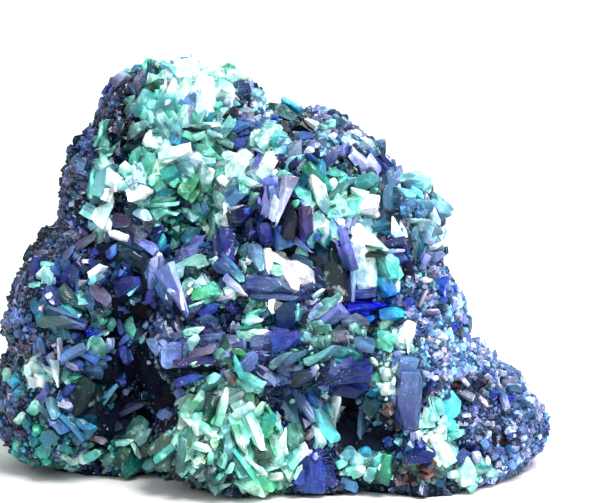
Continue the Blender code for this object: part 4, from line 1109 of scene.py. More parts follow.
# Scales of the noises in the finishes, per metre.
CLOUD, FINE, VEIN, BLOOM = 620.0, 3600.0, 880.0, 1150.0
SPECK, SPECK_PATCH, GRIT, STAIN = 5200.0, 420.0, 2600.0, 150.0
ALONG = (7.0, 5.0, 0.55)  # the growth lines' scale across, through and along a crystal, per millimetre
PALE_VEIN = (0.78, 1.0, 0.93, 1.0)
FROST_AND_SPARKLE = (0.74, 0.80, 0.95, 1.0)


def rgba(colour):
    return (*colour, 1.0)


def crystal_material(name, gloss, dull, streak, frost_and_sparkle, coat, marble):
    """Crystal: its own tint, cloudy and streaked along its length, frosted with fine specks.

    gloss and dull are the roughness of its clean and dusty parts, streak how strong the growth lines are,
    frost how much of it is speckled pale, and marble how strongly it is veined dark and pale.
    """
    material = bpy.data.materials.new(name)
    graph = Graph(material)
    place = graph.add("ShaderNodeTexCoord")["Object"]
    along = graph.attribute("grain", "Vector")
    tint = graph.attribute("tint", "Color")
    cloud = graph.noise(place, CLOUD, 3.0)
    fine = graph.noise(place, FINE, 2.0)
    lines = graph.add("ShaderNodeMapping", None, {"Vector": along, "Scale": ALONG})["Vector"]
    line = graph.noise(lines, 1.0, 2.0, 0.6)
    shade = (0.62 + 0.76 * cloud) * (1.0 - streak * 0.5 + streak * line)
    shade = shade * (0.82 + 0.36 * fine)
    vein = graph.noise(place, VEIN, 4.0, 0.62)
    shade = shade * (1.0 - marble * 0.62 * (1.0 - vein.past(0.32, 0.24)))
    speck = graph.noise(place, SPECK, 1.0).past(0.62, 0.05)
    speck = speck * graph.noise(place, SPECK_PATCH, 1.0).past(0.50, 0.16)
    bloom = (0.62 * graph.noise(place, BLOOM, 2.0) + 0.38 * line).past(0.5, 0.07)
    base = graph.scaled(graph.mix(bloom * 0.75, tint, graph.attribute("bloom", "Vector")), shade)
    pale = vein.past(0.54, 0.14)
    base = graph.scaled(base, 1.0 + 0.5 * pale)
    base = graph.mix(pale * (0.45 * marble), base, PALE_VEIN)
    # Pale specks: frost that also stands for painted sparkle.
    base = graph.mix(speck * frost_and_sparkle, base, FROST_AND_SPARKLE)
    rough = gloss + (dull - gloss) * cloud.past(0.38, 0.3) + 0.25 * speck
    relief = {"Strength": 0.35, "Distance": 0.00006, "Height": line * streak + 0.8 * fine + speck}
    bump = graph.add("ShaderNodeBump", None, relief)["Normal"]
    surface = graph.add(
        "ShaderNodeBsdfPrincipled",
        None,
        {
            "Base Color": base,
            "Roughness": rough,
            "IOR": 1.5,
            "Specular IOR Level": 0.28,
            "Coat Weight": coat,
            "Coat Roughness": 0.08,
            "Coat IOR": 1.6,
            "Normal": bump,
        },
    )["BSDF"]
    graph.add("ShaderNodeOutputMaterial", None, {"Surface": surface})
    return material


def matrix_material(name):
    """The rock under the crystals: dark, gritty, iron-stained in patches."""
    colours = palette()
    material = bpy.data.materials.new(name)
    graph = Graph(material)
    place = graph.add("ShaderNodeTexCoord")["Object"]
    tint = graph.attribute("tint", "Color")
    grit = graph.noise(place, GRIT, 3.0)
    stain = graph.noise(place, STAIN, 3.0, 0.6).past(0.56, 0.1)
    base = graph.scaled(tint, 0.4 + 1.2 * grit)
    base = graph.mix(stain * 0.2, base, rgba(colours["limonite"] * 0.35))
    relief = {"Strength": 0.8, "Distance": 0.00015, "Height": grit}
    bump = graph.add("ShaderNodeBump", None, relief)["Normal"]
    surface = graph.add(
        "ShaderNodeBsdfPrincipled",
        None,
        {"Base Color": base, "Roughness": 0.5 + 0.4 * grit, "Specular IOR Level": 0.08, "Normal": bump},
    )["BSDF"]
    graph.add("ShaderNodeOutputMaterial", None, {"Surface": surface})
    return material


def material_of(mineral):
    found = bpy.data.materials.get(mineral + "_finish")
    if found:
        return found
    if mineral in FINISHES:
        return crystal_material(mineral + "_finish", *FINISHES[mineral])
    return matrix_material(mineral + "_finish")


# ---- crystals ----


def palette():
    held = bpy.context.scene.specimen_colours
    return {name: np.array(getattr(held, name)[:3]) for name in COLOURS}


def cut(bm, point, normal):
    """Cuts away what lies beyond a plane and closes the cut, which is how every crystal face is made."""
    made = bmesh.ops.bisect_plane(
        bm,
        geom=bm.verts[:] + bm.edges[:] + bm.faces[:],
        plane_co=point,
        plane_no=normal,
        clear_outer=True,
        dist=1e-6,
    )
    rim = [e for e in made["geom_cut"] if isinstance(e, bmesh.types.BMEdge)]
    bmesh.ops.contextual_create(bm, geom=rim)


class Form:
    """One crystal shape held as arrays, to be repeated: corners, faces, and which faces are bevelled edges.

    Each face of the finer mesh remembers the crystal face that it is part of.
    """

    def __init__(self, habit, rng, bevel, cuts, soft):
        bm = bmesh.new()
        if habit == "ball":
            place = Matrix.LocRotScale(Vector((0, 0, 0.5)), None, Vector((0.5, 0.5, 0.5)))
            bmesh.ops.create_icosphere(bm, subdivisions=2 if bevel else 1, radius=1.0, matrix=place)
        else:
            bmesh.ops.create_cube(bm, size=1.0, matrix=Matrix.Translation((0, 0, 0.5)))
        hand = Vector((rng.choice((-1, 1)), 1, 1))
        for point, normal in HABITS[habit]:
            shift, turn = rng.normal(size=(2, 3)) * ((0.05,), (0.16,))
            cut(bm, Vector(point) * hand + Vector(shift), Vector(normal).normalized() * hand + Vector(turn))
        edges = set()
        if bevel and habit != "ball":
            made = bmesh.ops.bevel(
                bm,
                geom=bm.edges[:],
                offset=bevel,
                offset_type="OFFSET",
                affect="EDGES",
                segments=1,
                profile=0.5,
                material=-1,
                clamp_overlap=True,
            )
            edges = set(made["faces"])
        side, lit_bevel = (bm.faces.layers.int.new(label) for label in ("side", "lit_bevel"))
        for number, face in enumerate(bm.faces):
            face[side], face[lit_bevel] = number, face in edges
        if cuts and habit != "ball":
            bmesh.ops.triangulate(bm, faces=bm.faces[:])
            bmesh.ops.subdivide_edges(bm, edges=bm.edges[:], cuts=cuts, use_grid_fill=True)
        bm.verts.index_update()
        self.corners = np.array([v.co for v in bm.verts])
        self.loops = np.array([v.index for f in bm.faces for v in f.verts])
        self.totals = np.array([len(f.verts) for f in bm.faces])
        self.sides, self.lit_bevel = (np.array([f[layer] for f in bm.faces]) for layer in (side, lit_bevel))
        self.smooth = soft or habit == "ball"
        bm.free()


def forms(bevel, cuts=0, soft=False):
    """Several versions of every habit, and of each a plain one for the small crystals beside it."""
    rng = np.random.default_rng(SEED)
    large = {habit: [Form(habit, rng, bevel, cuts, soft) for _ in range(VARIANTS)] for habit in HABITS}
    small = {"small_" + habit: [Form(habit, rng, 0, 0, False) for _ in range(VARIANTS)] for habit in HABITS}
    return large | small


def swayed(points, scale):
    """A smoothly varying vector for each point."""
    return np.array([noise.noise_vector(Vector(p) * scale) for p in points])


def weathered(points, depth):
    """The points moved a little, as a worn and etched surface is."""
    return points + (swayed(points, 0.9) + 0.45 * swayed(points, 2.7)) * depth


class Crop:
    """Crystals waiting to be joined in one piece."""

    def __init__(self, shapes, rng):
        self.shapes, self.rng = shapes, rng
        self.rows = {}

    def add(self, habit, foot, axis, broad, size, tints, edge):
        """A crystal that runs along axis from foot with its broad face looking along broad, in millimetres.

        tints are those of its tip, its foot and the clouds in it.
        """
        variant = int(self.rng.integers(VARIANTS))
        row = (*foot, *axis, *broad, *size, *np.concatenate(tints), edge)
        self.rows.setdefault((habit, variant), []).append(row)

    def joined(self, name, mineral, painted_facet_spread, glints, wear=0.0):
        """Makes the piece: one mesh of all the crystals that stand clear of the floor.

        contrast is how much its faces differ in brightness and glints the share of them that are pale.
        """
        corners, grains, loops, totals, smooth, tints, clouds = [], [], [], [], [], [], []
        count = 0
        for (habit, variant), rows in self.rows.items():
            form, rows = self.shapes[habit][variant], np.array(rows)
            length = rows[:, 3:6] / np.linalg.norm(rows[:, 3:6], axis=1, keepdims=True)
            across = np.cross(rows[:, 6:9], length)
            across /= np.linalg.norm(across, axis=1, keepdims=True)
            turn = np.stack([across, np.cross(length, across), length], axis=2)
            size = rows[:, [10, 11, 9]]
            local = form.corners[None] * size[:, None]
            placed = rows[:, None, :3] + np.einsum("nij,nvj->nvi", turn, local)
            if wear:
                placed = weathered(placed.reshape(-1, 3), wear).reshape(placed.shape)
            kept = placed[:, :, 2].min(axis=1) > 0.02
            if not kept.any():
                continue
            rows, local, placed = rows[kept], local[kept], placed[kept]
            number, height = len(rows), len(form.corners)
            corners.append(placed.reshape(-1, 3) * MM)
            grains.append((local + self.rng.uniform(-40, 40, (number, 1, 3))).reshape(-1, 3))
            loops.append((form.loops[None] + count + np.arange(number)[:, None] * height).ravel())
            totals.append(np.tile(form.totals, number))
            smooth.append(np.full(number * len(form.totals), form.smooth))
            face_of = np.repeat(np.arange(len(form.totals)), form.totals)
            # From the foot tint, darkened with painted shade, up to the tip tint.
            rise = form.corners[form.loops, 2][None, :, None] ** 1.2
            tint = rows[:, None, 15:18] * (1 - rise) + rows[:, None, 12:15] * rise
            sides, most = form.sides[face_of], form.sides.max() + 1
            # Painted reflection: each face lighter or darker at random, as faces that mirror the lamps or
            # not.
            bright = np.exp(self.rng.normal(size=(number, most, 1)) * painted_facet_spread).clip(0.3, 2.2)
            tint = tint * bright[:, sides]
            # Painted glints: a share of the faces mixed towards pale blue-white.
            flash = (self.rng.random((number, most)) < glints) * self.rng.uniform(0.4, 0.9, (number, most))
            flash = flash[:, sides, None]
            tint = tint * (1 - flash) + (0.55 * np.array(GLINT) + 0.6 * tint) * flash
            # Painted highlight: the bevelled edges painted pale, as if they caught the light.
            pale = self.rng.random((number, most))[:, sides] ** 2 * form.lit_bevel[face_of] * rows[:, 21:22]
            pale = pale[..., None]
            tint = tint * (1 - pale) + (0.22 * np.array(PAINTED_EDGE_HIGHLIGHT) + 1.1 * rows[:, None, 12:15]) * pale
            tints.append(np.clip(tint, 0, 1).reshape(-1, 3))
            clouds.append(np.repeat(np.clip(rows[:, 18:21], 0, 1), height, axis=0))
            count += number * height
        mesh = bpy.data.meshes.new(name)
        corners, loops, totals = np.concatenate(corners), np.concatenate(loops), np.concatenate(totals)
        mesh.vertices.add(len(corners))
        mesh.vertices.foreach_set("co", corners.ravel())
        mesh.loops.add(len(loops))
        mesh.loops.foreach_set("vertex_index", loops)
        mesh.polygons.add(len(totals))
        mesh.polygons.foreach_set("loop_start", np.cumsum(totals) - totals)
        mesh.polygons.foreach_set("use_smooth", np.concatenate(smooth))
        mesh.update(calc_edges=True)
        tint = mesh.attributes.new("tint", "FLOAT_COLOR", "CORNER")
        tint.data.foreach_set("color", np.c_[np.concatenate(tints), np.ones(len(loops))].ravel())
        for label, values in (("grain", grains), ("bloom", clouds)):
            held = mesh.attributes.new(label, "FLOAT_VECTOR", "POINT")
            held.data.foreach_set("vector", np.concatenate(values).ravel())
        return ride(bpy.data.objects.new(name, mesh), mineral)


def ride(piece, mineral):
    """Links a finished piece, gives it its mineral's material and hands it to the frame."""
    bpy.context.scene.collection.objects.link(piece)
    piece.data.materials.append(material_of(mineral))
    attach(piece, "root")
    return piece


# ---- what grows where ----


ZONE_MARGIN = 1.5  # how many times its reach a zone holds where no other is nearer
TRIES = 36000  # random places tried for crystals 1 mm apart
LOWEST_SEAT = 0.25  # above the floor
UNDERSIDE = -0.92  # where the lump's normal has a lower z than this, it looks at the floor
PATCHINESS = 0.42  # how fine the patches of one colour are
DRIFT_SCALE, DRIFT = 0.16, 1.6  # how fine and how strong the common lean of neighbours is
ROLL_SCATTER = 14  # degrees by which crystals stray from their zone's roll
SHADED = {"malachite": 0.75, "azurite": 0.5}  # brightness of a crystal in the shade of a placed one


def mineral_of(colour):
    return "malachite" if colour in MALACHITE else "azurite"


def seen_at(points):
    """(across, up) of points in the front view."""
    eye, sight = np.array(EYE), np.array(SIGHT)
    rays = points - eye
    planar = eye + rays * (VIEW_DISTANCE / (rays @ sight))[:, None]
    return np.c_[planar[:, 0], planar @ np.array(RISE)]


def chosen_zones(points, normals):
    """(style, mix, roll) at each point, from a front zone where it faces the front and a patch elsewhere.

    roll is empty where the crystals keep to none. A smooth sway blurs the zones' edges.
    """
    sway = swayed(points, 0.55)
    seen = seen_at(points) + sway[:, :2] * 0.7
    front = list(ZONES.values())
    middles, reaches = (np.array([row[k] for row in front]) for k in (1, 2))
    distance = np.linalg.norm((seen[:, None] - middles) / reaches, axis=2)
    nearest, how_far = distance.argmin(axis=1), distance.min(axis=1)
    around = list(PATCHES.values())
    moved = points + sway * 3
    away = np.array([np.linalg.norm(moved - np.array(middle), axis=1) / reach for _, middle, reach in around])
    patch = away.argmin(axis=0)
    view = np.array(EYE) - points
    facing = (view * normals).sum(axis=1) / np.linalg.norm(view, axis=1)
    for k in range(len(points)):
        if facing[k] < 0.02 + 0.1 * sway[k, 2]:
            row = around[patch[k]]
        else:
            row = front[nearest[k]] if how_far[k] < ZONE_MARGIN else OPEN_GROUND
        yield (*row[0].split(), row[3:])


def skin(mesh, rng, count):
    """Random points of the mesh in millimetres with their normals, spread evenly by area."""
    mesh.calc_loop_triangles()
    number = len(mesh.loop_triangles)
    ends, normals, areas = np.empty(number * 3, np.int32), np.empty(number * 3), np.empty(number)
    mesh.loop_triangles.foreach_get("vertices", ends)
    mesh.loop_triangles.foreach_get("normal", normals)
    mesh.loop_triangles.foreach_get("area", areas)
    places = np.empty(len(mesh.vertices) * 3)
    mesh.vertices.foreach_get("co", places)
    places = places.reshape(-1, 3) / MM
    picked = rng.choice(number, count, p=areas / areas.sum())
    weights = rng.dirichlet((1, 1, 1), count)[:, :, None]
    points = (places[ends.reshape(-1, 3)[picked]] * weights).sum(axis=1)
    return points, normals.reshape(-1, 3)[picked]


def spread(points, spacing):
    """Indices of the points that keep this far from each other, taken in order."""
    cells, kept = {}, []
    around = [(a, b, c) for a in (-1, 0, 1) for b in (-1, 0, 1) for c in (-1, 0, 1)]
    for k, point in enumerate(points):
        home = tuple(int(v // spacing) for v in point)
        near = (j for a, b, c in around for j in cells.get((home[0] + a, home[1] + b, home[2] + c), ()))
        if all(((points[j] - point) ** 2).sum() >= spacing * spacing for j in near):
            cells.setdefault(home, []).append(k)
            kept.append(k)
    return kept


def blade_rows():
    """The placed crystals and how far in front they stand, after the broad ones that lie under them."""
    rng = np.random.default_rng(SEED)
    hollows = [(middle, reach) for words, middle, reach, *_ in ZONES.values() if words.startswith("hollow")]
    for words, middle, reach, *roll in ZONES.values():
        style, mix = words.split()
        if style not in BEDDED:
            continue
        habit, most, depth = BEDDED[style]
        names, area = MIXES[mix].split(), reach[0] * reach[1]
        for _ in range(min(4, int(0.5 + area * most))):
            turn = math.radians(sum(roll) or rng.uniform(-60, 60))
            way = np.array((math.sin(turn), math.cos(turn))) * min(1.5, 0.75 * max(reach))
            spot = np.array(middle) + rng.uniform(-0.6, 0.6, 2) * reach
            tip, foot = rng.choice(names, 2)
            width = rng.uniform(0.6, 1.0) * (2.0 if depth > -0.5 else 1.4)
            places = spot - way * 0.8, spot, spot + way * 0.8
            gaps = [(place - inside) / np.add(size, 0.3) for place in places for inside, size in hollows]
            if np.linalg.norm(gaps, axis=1).min() > 1:
                yield habit, spot - way, spot + way, width, tip, foot, depth
    for words, foot_across, foot_up, tip_across, tip_up, width, *front in BLADES:
        habit, tip, foot = words.split()
        ends = np.array((foot_across, foot_up)), np.array((tip_across, tip_up))
        yield habit, *ends, width, tip, foot, sum(front)


def beyond_blades(points):
    """How far each point lies outside the placed crystals' outlines in the front view, in millimetres."""
    seen = seen_at(points)
    gap = np.full(len(points), 9.0)
    for _, foot, tip, width, *_ in blade_rows():
        length = np.linalg.norm(tip - foot)
        way = (tip - foot) / length
        offset = seen - (foot + tip) / 2
        ends = abs(offset @ way) - length / 2
        sides = abs(offset @ (way[1], -way[0])) - width / 2
        gap = np.minimum(gap, np.maximum(ends, sides))
    return np.where(points[:, 1] > 4.0, 9.0, gap)


def shades_of(colours, name, other, gap_shade, rng):
    """(tip, foot, cloud) tints of a crystal of this colour, clouded with the other; dim darkens azurite."""
    green = name in MALACHITE
    gap_shade = gap_shade**0.2 if green else gap_shade

    def varied(colour):
        return gap_shade * colours[colour] * np.exp(rng.normal(size=3) * 0.1 + rng.normal() * 0.2 + 0.04)

    tip, cloud = varied(name), varied(other)
    pale = float(green and colours[name].min() > 0.25)
    # Painted shade: the foot darkened towards navy_black or dark_teal, less for pale malachite.
    deep = colours["dark_teal" if green else "navy_black"] * (0.35 - 0.2 * pale)
    bridge = (colours["steel"] + colours["teal"]) * (0.22 * gap_shade)
    return tip, tip * (0.42 + 0.28 * pale) + deep, cloud * (0.6 + 0.25 * pale) + bridge


def lump_object():
    return bpy.data.objects[LUMP]


def crust(tier, crops, colours, rng):
    """Grows one tier of crystals over the whole lump."""
    spacing, factor, gap_shade = TIERS[tier]
    sizes = bpy.context.scene.specimen_sizes
    points, normals = skin(lump_object().data, rng, int(TRIES / spacing**2))
    gaps = beyond_blades(points)
    free = gaps > (sizes.gap / MM if tier == "crust" else -sizes.clear / MM)
    free &= (points[:, 2] > LOWEST_SEAT) & (normals[:, 2] > UNDERSIDE)
    points, normals = points[free], normals[free]
    kept = spread(points, spacing)
    points, normals, gaps = points[kept], normals[kept], gaps[free][kept]
    for point, normal, gap, (style, mix, roll) in zip(points, normals, gaps, chosen_zones(points, normals)):
        habits, lengths, shares, lean, buried, share = STYLES[style]
        if rng.random() > share[tier != "crust"]:
            continue
        names = MIXES[mix].split()
        place = 0.5 + 0.9 * noise.noise(Vector(point) * PATCHINESS) + rng.normal() * 0.1
        name, other = names[int(place * len(names)) % len(names)], rng.choice(names)
        mineral = mineral_of(name)
        normal = Vector(normal)
        drift = noise.noise_vector(Vector(point) * DRIFT_SCALE) * DRIFT
        if roll:
            turn = math.radians(roll[0] + rng.normal() * ROLL_SCATTER)
            drift = Vector((math.sin(turn), 0, math.cos(turn))) * (0.9 if rng.random() < 0.75 else -0.9)
        axis = normal * (1.25 - lean) + drift * lean + Vector(rng.normal(size=3)) * 0.35 * lean
        if axis.dot(normal) < 0.12:
            axis += normal * (0.25 - axis.dot(normal))
        axis.normalize()
        broad = normal + Vector(rng.normal(size=3)) * 0.45
        length = rng.uniform(*lengths) * (factor**0.6 if style == "druse" else factor)
        # Painted shade: the finer tiers darkened as if down in the gaps, less so in druse.
        tints = shades_of(colours, name, other, gap_shade**0.2 if style == "druse" else gap_shade, rng)
        if gap < sizes.shade / MM:
            tints = [tint * SHADED[mineral] for tint in tints]
        # how strongly the bevelled edges are painted pale as a highlight
        edge = rng.uniform(0.2, 1.0)
        width, thickness = (length * part * rng.uniform(0.75, 1.25) for part in shares)
        size = Vector((length, width, thickness))
        base = Vector(point) - axis * length * buried
        crop = crops[mineral]
        habit = habits[int(rng.integers(len(habits)))]
        if tier == "dust" and habit != "ball":
            habit = "chip"
        crop.add(habit, base, axis, broad, size, tints, edge)
        if tier == "crust" and style != "ball":
            beside(crop, sizes.companions, habit, base, axis, broad, size, tints, edge, rng)


def beside(crop, number, habit, base, axis, broad, size, tints, edge, rng):
    """Smaller crystals in parallel growth with one just added."""
    across = broad.cross(axis).normalized()
    thick = axis.cross(across)
    for _ in range(number):
        part = rng.uniform(0.6, 1.0)
        shift = across * size[1] * rng.uniform(-0.75, 0.75) - thick * size[2] * rng.uniform(0.15, 0.8)
        leaning = axis + Vector(rng.normal(size=3)) * 0.12
        tip, foot, cloud = tints
        shade = tip * rng.uniform(0.7, 1.25), foot, cloud
        crop.add("small_" + habit, base + shift, leaning, broad, size * part, shade, edge)


# ---- the lump ----


def ellipsoids(table, name):
    """One mesh of a table's ellipsoids, which overlap."""
    bm = bmesh.new()
    for centre, radii in table.values():
        place = Matrix.LocRotScale(Vector(centre) * MM, None, Vector(radii) * MM)
        bmesh.ops.create_icosphere(bm, subdivisions=4, radius=1.0, matrix=place)
    mesh = bpy.data.meshes.new(name)
    bm.to_mesh(mesh)
    bm.free()
    return mesh


def tint_lump(lump):
    """Gives the lump a dark tint of what grows on each part of it."""
    colours = palette()
    mesh = lump.data
    points = np.empty(len(mesh.vertices) * 3)
    normals = np.empty(len(mesh.vertices) * 3)
    mesh.vertices.foreach_get("co", points)
    mesh.vertices.foreach_get("normal", normals)
    points, normals = points.reshape(-1, 3) / MM, normals.reshape(-1, 3)
    means = {mix: np.mean([colours[n] for n in names.split()], axis=0) for mix, names in MIXES.items()}
    tints = np.ones((len(points), 4))
    chosen = list(chosen_zones(points, normals))
    tints[:, :3] = [means[mix] for _, mix, _ in chosen]
    druse = np.array([style == "druse" for style, _, _ in chosen])[:, None]
    green = np.clip(tints[:, 1] - tints[:, 2] * 0.75, 0, 0.3)[:, None] / 0.3
    # Painted shade: near navy_black, lighter where malachite or druse grows.
    tints[:, :3] = tints[:, :3] * (0.05 + 0.4 * green + 0.25 * druse) + colours["navy_black"] * 0.9
    mesh.attributes.new("tint", "FLOAT_COLOR", "POINT").data.foreach_set("color", tints.ravel())


class SPECIMEN_OT_lump(bpy.types.Operator):
    """Make the rock under the crystals and let it stand for the solid"""

    bl_idname = "specimen.lump"
    bl_label = "Lump"

    def execute(self, context):
        sizes = context.scene.specimen_sizes
        noise.seed_set(sizes.seed)
        lump = bpy.data.objects.new(LUMP, ellipsoids(LOBES, LUMP))
        cutter = bpy.data.objects.new("vug_cutter", ellipsoids(HOLLOWS, "vugs"))
        for made in (lump, cutter):
            context.scene.collection.objects.link(made)
        fuse = lump.modifiers.new("fuse", "REMESH")
        fuse.mode = "VOXEL"
        fuse.voxel_size = sizes.voxel
        hollow = lump.modifiers.new("hollow", "BOOLEAN")
        hollow.operation = "DIFFERENCE"
        hollow.object = cutter
        for pattern, (width, height) in RELIEFS.items():
            texture = bpy.data.textures.new(pattern.lower(), pattern)
            texture.noise_scale = width * MM
            relief = lump.modifiers.new(texture.name, "DISPLACE")
            relief.texture = texture
            relief.strength = height * MM
            relief.mid_level = 0.5 - sizes.swell / (height * MM) * (pattern == "VORONOI")
        mesh = bpy.data.meshes.new_from_object(lump.evaluated_get(context.evaluated_depsgraph_get()))
        lump.modifiers.clear()
        lump.data = mesh
        bpy.data.objects.remove(cutter)
        bm = bmesh.new()
        bm.from_mesh(mesh)
        cut(bm, (0, 0, 0), (0, 0, -1))
        bmesh.ops.triangulate(bm, faces=[f for f in bm.faces if len(f.verts) > 4])
        bm.to_mesh(mesh)
        bm.free()
        tint_lump(lump)
        mesh.materials.clear()
        mesh.materials.append(material_of("matrix"))
        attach(lump, "root")
        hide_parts(NODE)
        return {"FINISHED"}


BLADE_RISE = math.radians(13)  # how far the tips of the placed crystals come towards the eye


def ray_to(across, up):
    """The way from the eye to a point of the front view."""
    return (Vector((across, 0, 0)) + RISE * up - EYE).normalized()


def seat_of(tree, middle, lift, moves):
    """The point of the front view at this height in front of the lump.

    Off the outline it takes the lump's depth further in; a crystal that moves is then seated there too.
    """
    across, up = middle
    for step in range(6):
        inner = ray_to(across * (1 - 0.04 * step), up - 0.6 * step)
        depth = tree.ray_cast(EYE * MM, inner)[3]
        if depth:
            ray = inner if moves else ray_to(across, up)
            return EYE + ray * (depth / MM - lift + (0 if moves else step * 0.3))
    raise RuntimeError(f"nothing to seat the crystal at {across:.1f}, {up:.1f} on")


class SPECIMEN_OT_blades(bpy.types.Operator):
    """Grow the placed blades and the malachite fan where the eye meets the lump"""

    bl_idname = "specimen.blades"
    bl_label = "Blades and fan"

    def execute(self, context):
        colours, sizes = palette(), context.scene.specimen_sizes
        rng = np.random.default_rng([sizes.seed, 1])
        noise.seed_set(sizes.seed)
        tree = BVHTree.FromObject(lump_object(), context.evaluated_depsgraph_get())
        shapes = forms(0.045, 1) | {"wide_" + habit: made for habit, made in forms(0.045, 2).items()}
        crops = {"azurite": Crop(shapes, rng), "malachite": Crop(shapes, rng)}
        for habit, foot, tip, width, tip_name, foot_name, front in blade_rows():
            seat = seat_of(tree, (foot + tip) / 2, sizes.lift / MM + front, front < 0)
            along = Vector((tip[0] - foot[0], 0, 0)) + RISE * (tip[1] - foot[1])
            length = along.length * 1.08
            rise, twist = BLADE_RISE + rng.normal() * 0.08, rng.normal() * 0.2
            axis = along.normalized() * math.cos(rise) - SIGHT * math.sin(rise)
            broad = Matrix.Rotation(twist, 3, axis) @ -SIGHT
            crop = crops[mineral_of(tip_name)]
            size = Vector((length, width, 0.6 + 1.1 * width))
            cloud = colours[foot_name] + colours["grey_teal"] * min(1, 5 * colours[tip_name].mean())
            # Painted shade: the foot colour darkened where the blade goes down among the others.
            plain = colours[tip_name], colours[foot_name] * 0.75, cloud * 0.5
            tints = [tint * np.exp(rng.normal(size=3) * 0.08) for tint in plain]
            base = seat - axis * length / 2 + SIGHT * size[2] * 0.32
            crop.add("wide_" * (width > 1 and front >= 0) + habit, base, axis, broad, size, tints, 0.6)
            if width > 0.8:
                beside(crop, 2, habit, base, axis, broad, size * 0.8, tints, 0.6, rng)
        for mineral, crop in crops.items():
            crop.joined(mineral + "_blades", mineral, 0.28, 0.0, sizes.wear / MM)
        return {"FINISHED"}


def tier_operator(tier, words, bevel):
    """An operator class that grows one tier of the crust."""

    def execute(self, context):
        seed = context.scene.specimen_sizes.seed
        rng = np.random.default_rng([seed, 2 + list(TIERS).index(tier)])
        noise.seed_set(seed)
        crops = {
            "azurite": Crop(forms(bevel), rng),
            "malachite": Crop(forms(bevel * 2.2, soft=bevel > 0), rng),
        }
        crust(tier, crops, palette(), rng)
        for mineral, crop in crops.items():
            painted_facet_spread, glints = PAINTED_FACETS[mineral]
            share = 1.0 if tier == "crust" else 0.7
            crop.joined(f"{mineral}_{tier}", mineral, painted_facet_spread * share, glints * share)
        return {"FINISHED"}

    body = {
        "__doc__": words,
        "bl_idname": "specimen." + tier,
        "bl_label": tier.capitalize(),
        "execute": execute,
    }
    return type("SPECIMEN_OT_" + tier, (bpy.types.Operator,), body)


# ---- the stage ----


def aimed(name, data, place, target):
    obj = bpy.data.objects.new(name, data)
    bpy.context.scene.collection.objects.link(obj)
    obj.location = place
    obj.rotation_mode = "QUATERNION"
    obj.rotation_quaternion = (Vector(target) - Vector(place)).to_track_quat("-Z", "Y")
    return obj


def softbox(name, width, radiance, place, target, tint=(1.0, 1.0, 1.0)):
    """A square light of this width and brightness."""
    light = bpy.data.lights.new(name, "AREA")
    light.size = width
    light.energy = radiance * math.pi * width * width
    light.color = tint
    return aimed(name, light, place, target)


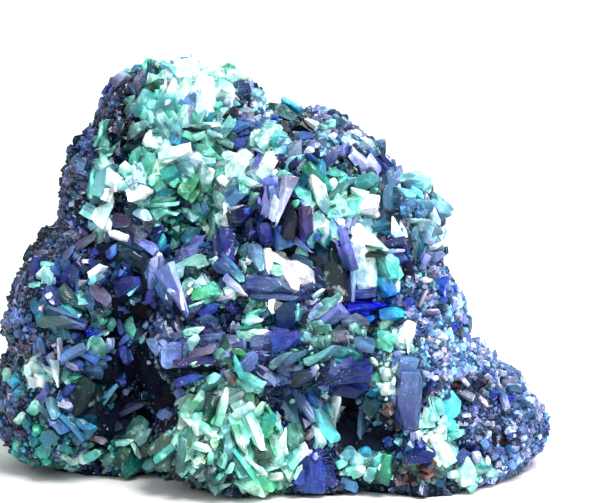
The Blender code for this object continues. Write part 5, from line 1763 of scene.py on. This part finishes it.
class SPECIMEN_OT_stage(bpy.types.Operator):
    """Lay the floor and set up the lights and the camera"""

    bl_idname = "specimen.stage"
    bl_label = "Stage"

    def execute(self, context):
        stage = context.scene.specimen_stage
        bm = bmesh.new()
        bmesh.ops.create_circle(bm, cap_ends=True, segments=128, radius=stage.floor)
        mesh = bpy.data.meshes.new("floor")
        bm.to_mesh(mesh)
        bm.free()
        floor = bpy.data.objects.new("floor", mesh)
        context.scene.collection.objects.link(floor)
        paper = bpy.data.materials.new("floor_paper")
        graph = Graph(paper)
        place = graph.add("ShaderNodeTexCoord")["Object"]
        shade = 0.80 + 0.03 * graph.noise(place, 9.0, 3.0)
        colour = graph.scaled((1.0, 0.99, 0.975), shade)
        matt = {"Base Color": colour, "Roughness": 0.85}
        surface = graph.add("ShaderNodeBsdfPrincipled", None, matt)["BSDF"]
        graph.add("ShaderNodeOutputMaterial", None, {"Surface": surface})
        mesh.materials.append(paper)

        world = bpy.data.worlds.new("studio")
        context.scene.world = world
        graph = Graph(world)
        seen = graph.add("ShaderNodeLightPath")["Is Camera Ray"]
        strength = stage.sky + (0.92 - stage.sky) * seen
        light = {"Color": (0.97, 0.985, 1.0, 1.0), "Strength": strength}
        sky = graph.add("ShaderNodeBackground", None, light)
        graph.add("ShaderNodeOutputWorld", None, {"Surface": sky["Background"]})

        middle = Vector((0, 0, 0.018))
        key = bpy.data.lights.new("key", "SUN")
        key.energy, key.angle = stage.sun, math.radians(22)
        aimed("key", key, Vector((0.14, -0.30, 0.48)), middle)
        front = Vector((-0.16, -0.42, 0.34))
        softbox("front", stage.softbox, stage.radiance, front, middle, (0.95, 0.97, 1.0))
        softbox("low", 0.5, 0.9, Vector((0.04, -0.60, 0.09)), middle, (0.92, 0.98, 1.0))
        softbox("side", 0.3, 5.0, Vector((0.42, -0.14, 0.26)), middle)
        rim = bpy.data.lights.new("rim", "SUN")
        rim.energy, rim.angle = 0.9, math.radians(40)
        aimed("rim", rim, Vector((0.16, 0.40, 0.36)), middle)

        lens = bpy.data.cameras.new("camera")
        lens.sensor_width = 36.0
        lens.lens = lens.sensor_width * VIEW_DISTANCE / VIEW_WIDTH
        lens.clip_start, lens.clip_end = 0.01, 20.0
        context.scene.camera = aimed("camera", lens, EYE * MM, (EYE + SIGHT * VIEW_DISTANCE) * MM)
        context.scene.view_settings.view_transform = "Standard"
        return {"FINISHED"}


TIER_OPERATORS = [
    tier_operator("crust", "Grow the crust of middling crystals", 0.05),
    tier_operator("grain", "Grow the small crystals between them", 0.0),
    tier_operator("dust", "Grow the finest crystals in the gaps", 0.0),
]
OPERATORS = [SPECIMEN_OT_lump, SPECIMEN_OT_blades, *TIER_OPERATORS, SPECIMEN_OT_stage]


class SPECIMEN_PT_panel(bpy.types.Panel):
    """Lists the sizes, the colours and the steps in their order"""

    bl_label = "Azurite specimen"
    bl_space_type = "VIEW_3D"
    bl_region_type = "UI"
    bl_category = "Specimen"

    def draw(self, context):
        for group, kind in GROUPS.items():
            box = self.layout.box()
            for name in kind.__annotations__:
                box.prop(getattr(context.scene, group), name)
        for operator in OPERATORS:
            self.layout.operator(operator.bl_idname)


CLASSES = [*GROUPS.values(), *OPERATORS, SPECIMEN_PT_panel]


def register():
    for kind in CLASSES:
        bpy.utils.register_class(kind)
    for name, kind in GROUPS.items():
        setattr(bpy.types.Scene, name, PointerProperty(type=kind))


def unregister():
    for name in GROUPS:
        delattr(bpy.types.Scene, name)
    for kind in reversed(CLASSES):
        bpy.utils.unregister_class(kind)


def main():
    register()
    for operator in OPERATORS:
        group, name = operator.bl_idname.split(".")
        getattr(getattr(bpy.ops, group), name)()


if __name__ == "__main__":
    main()
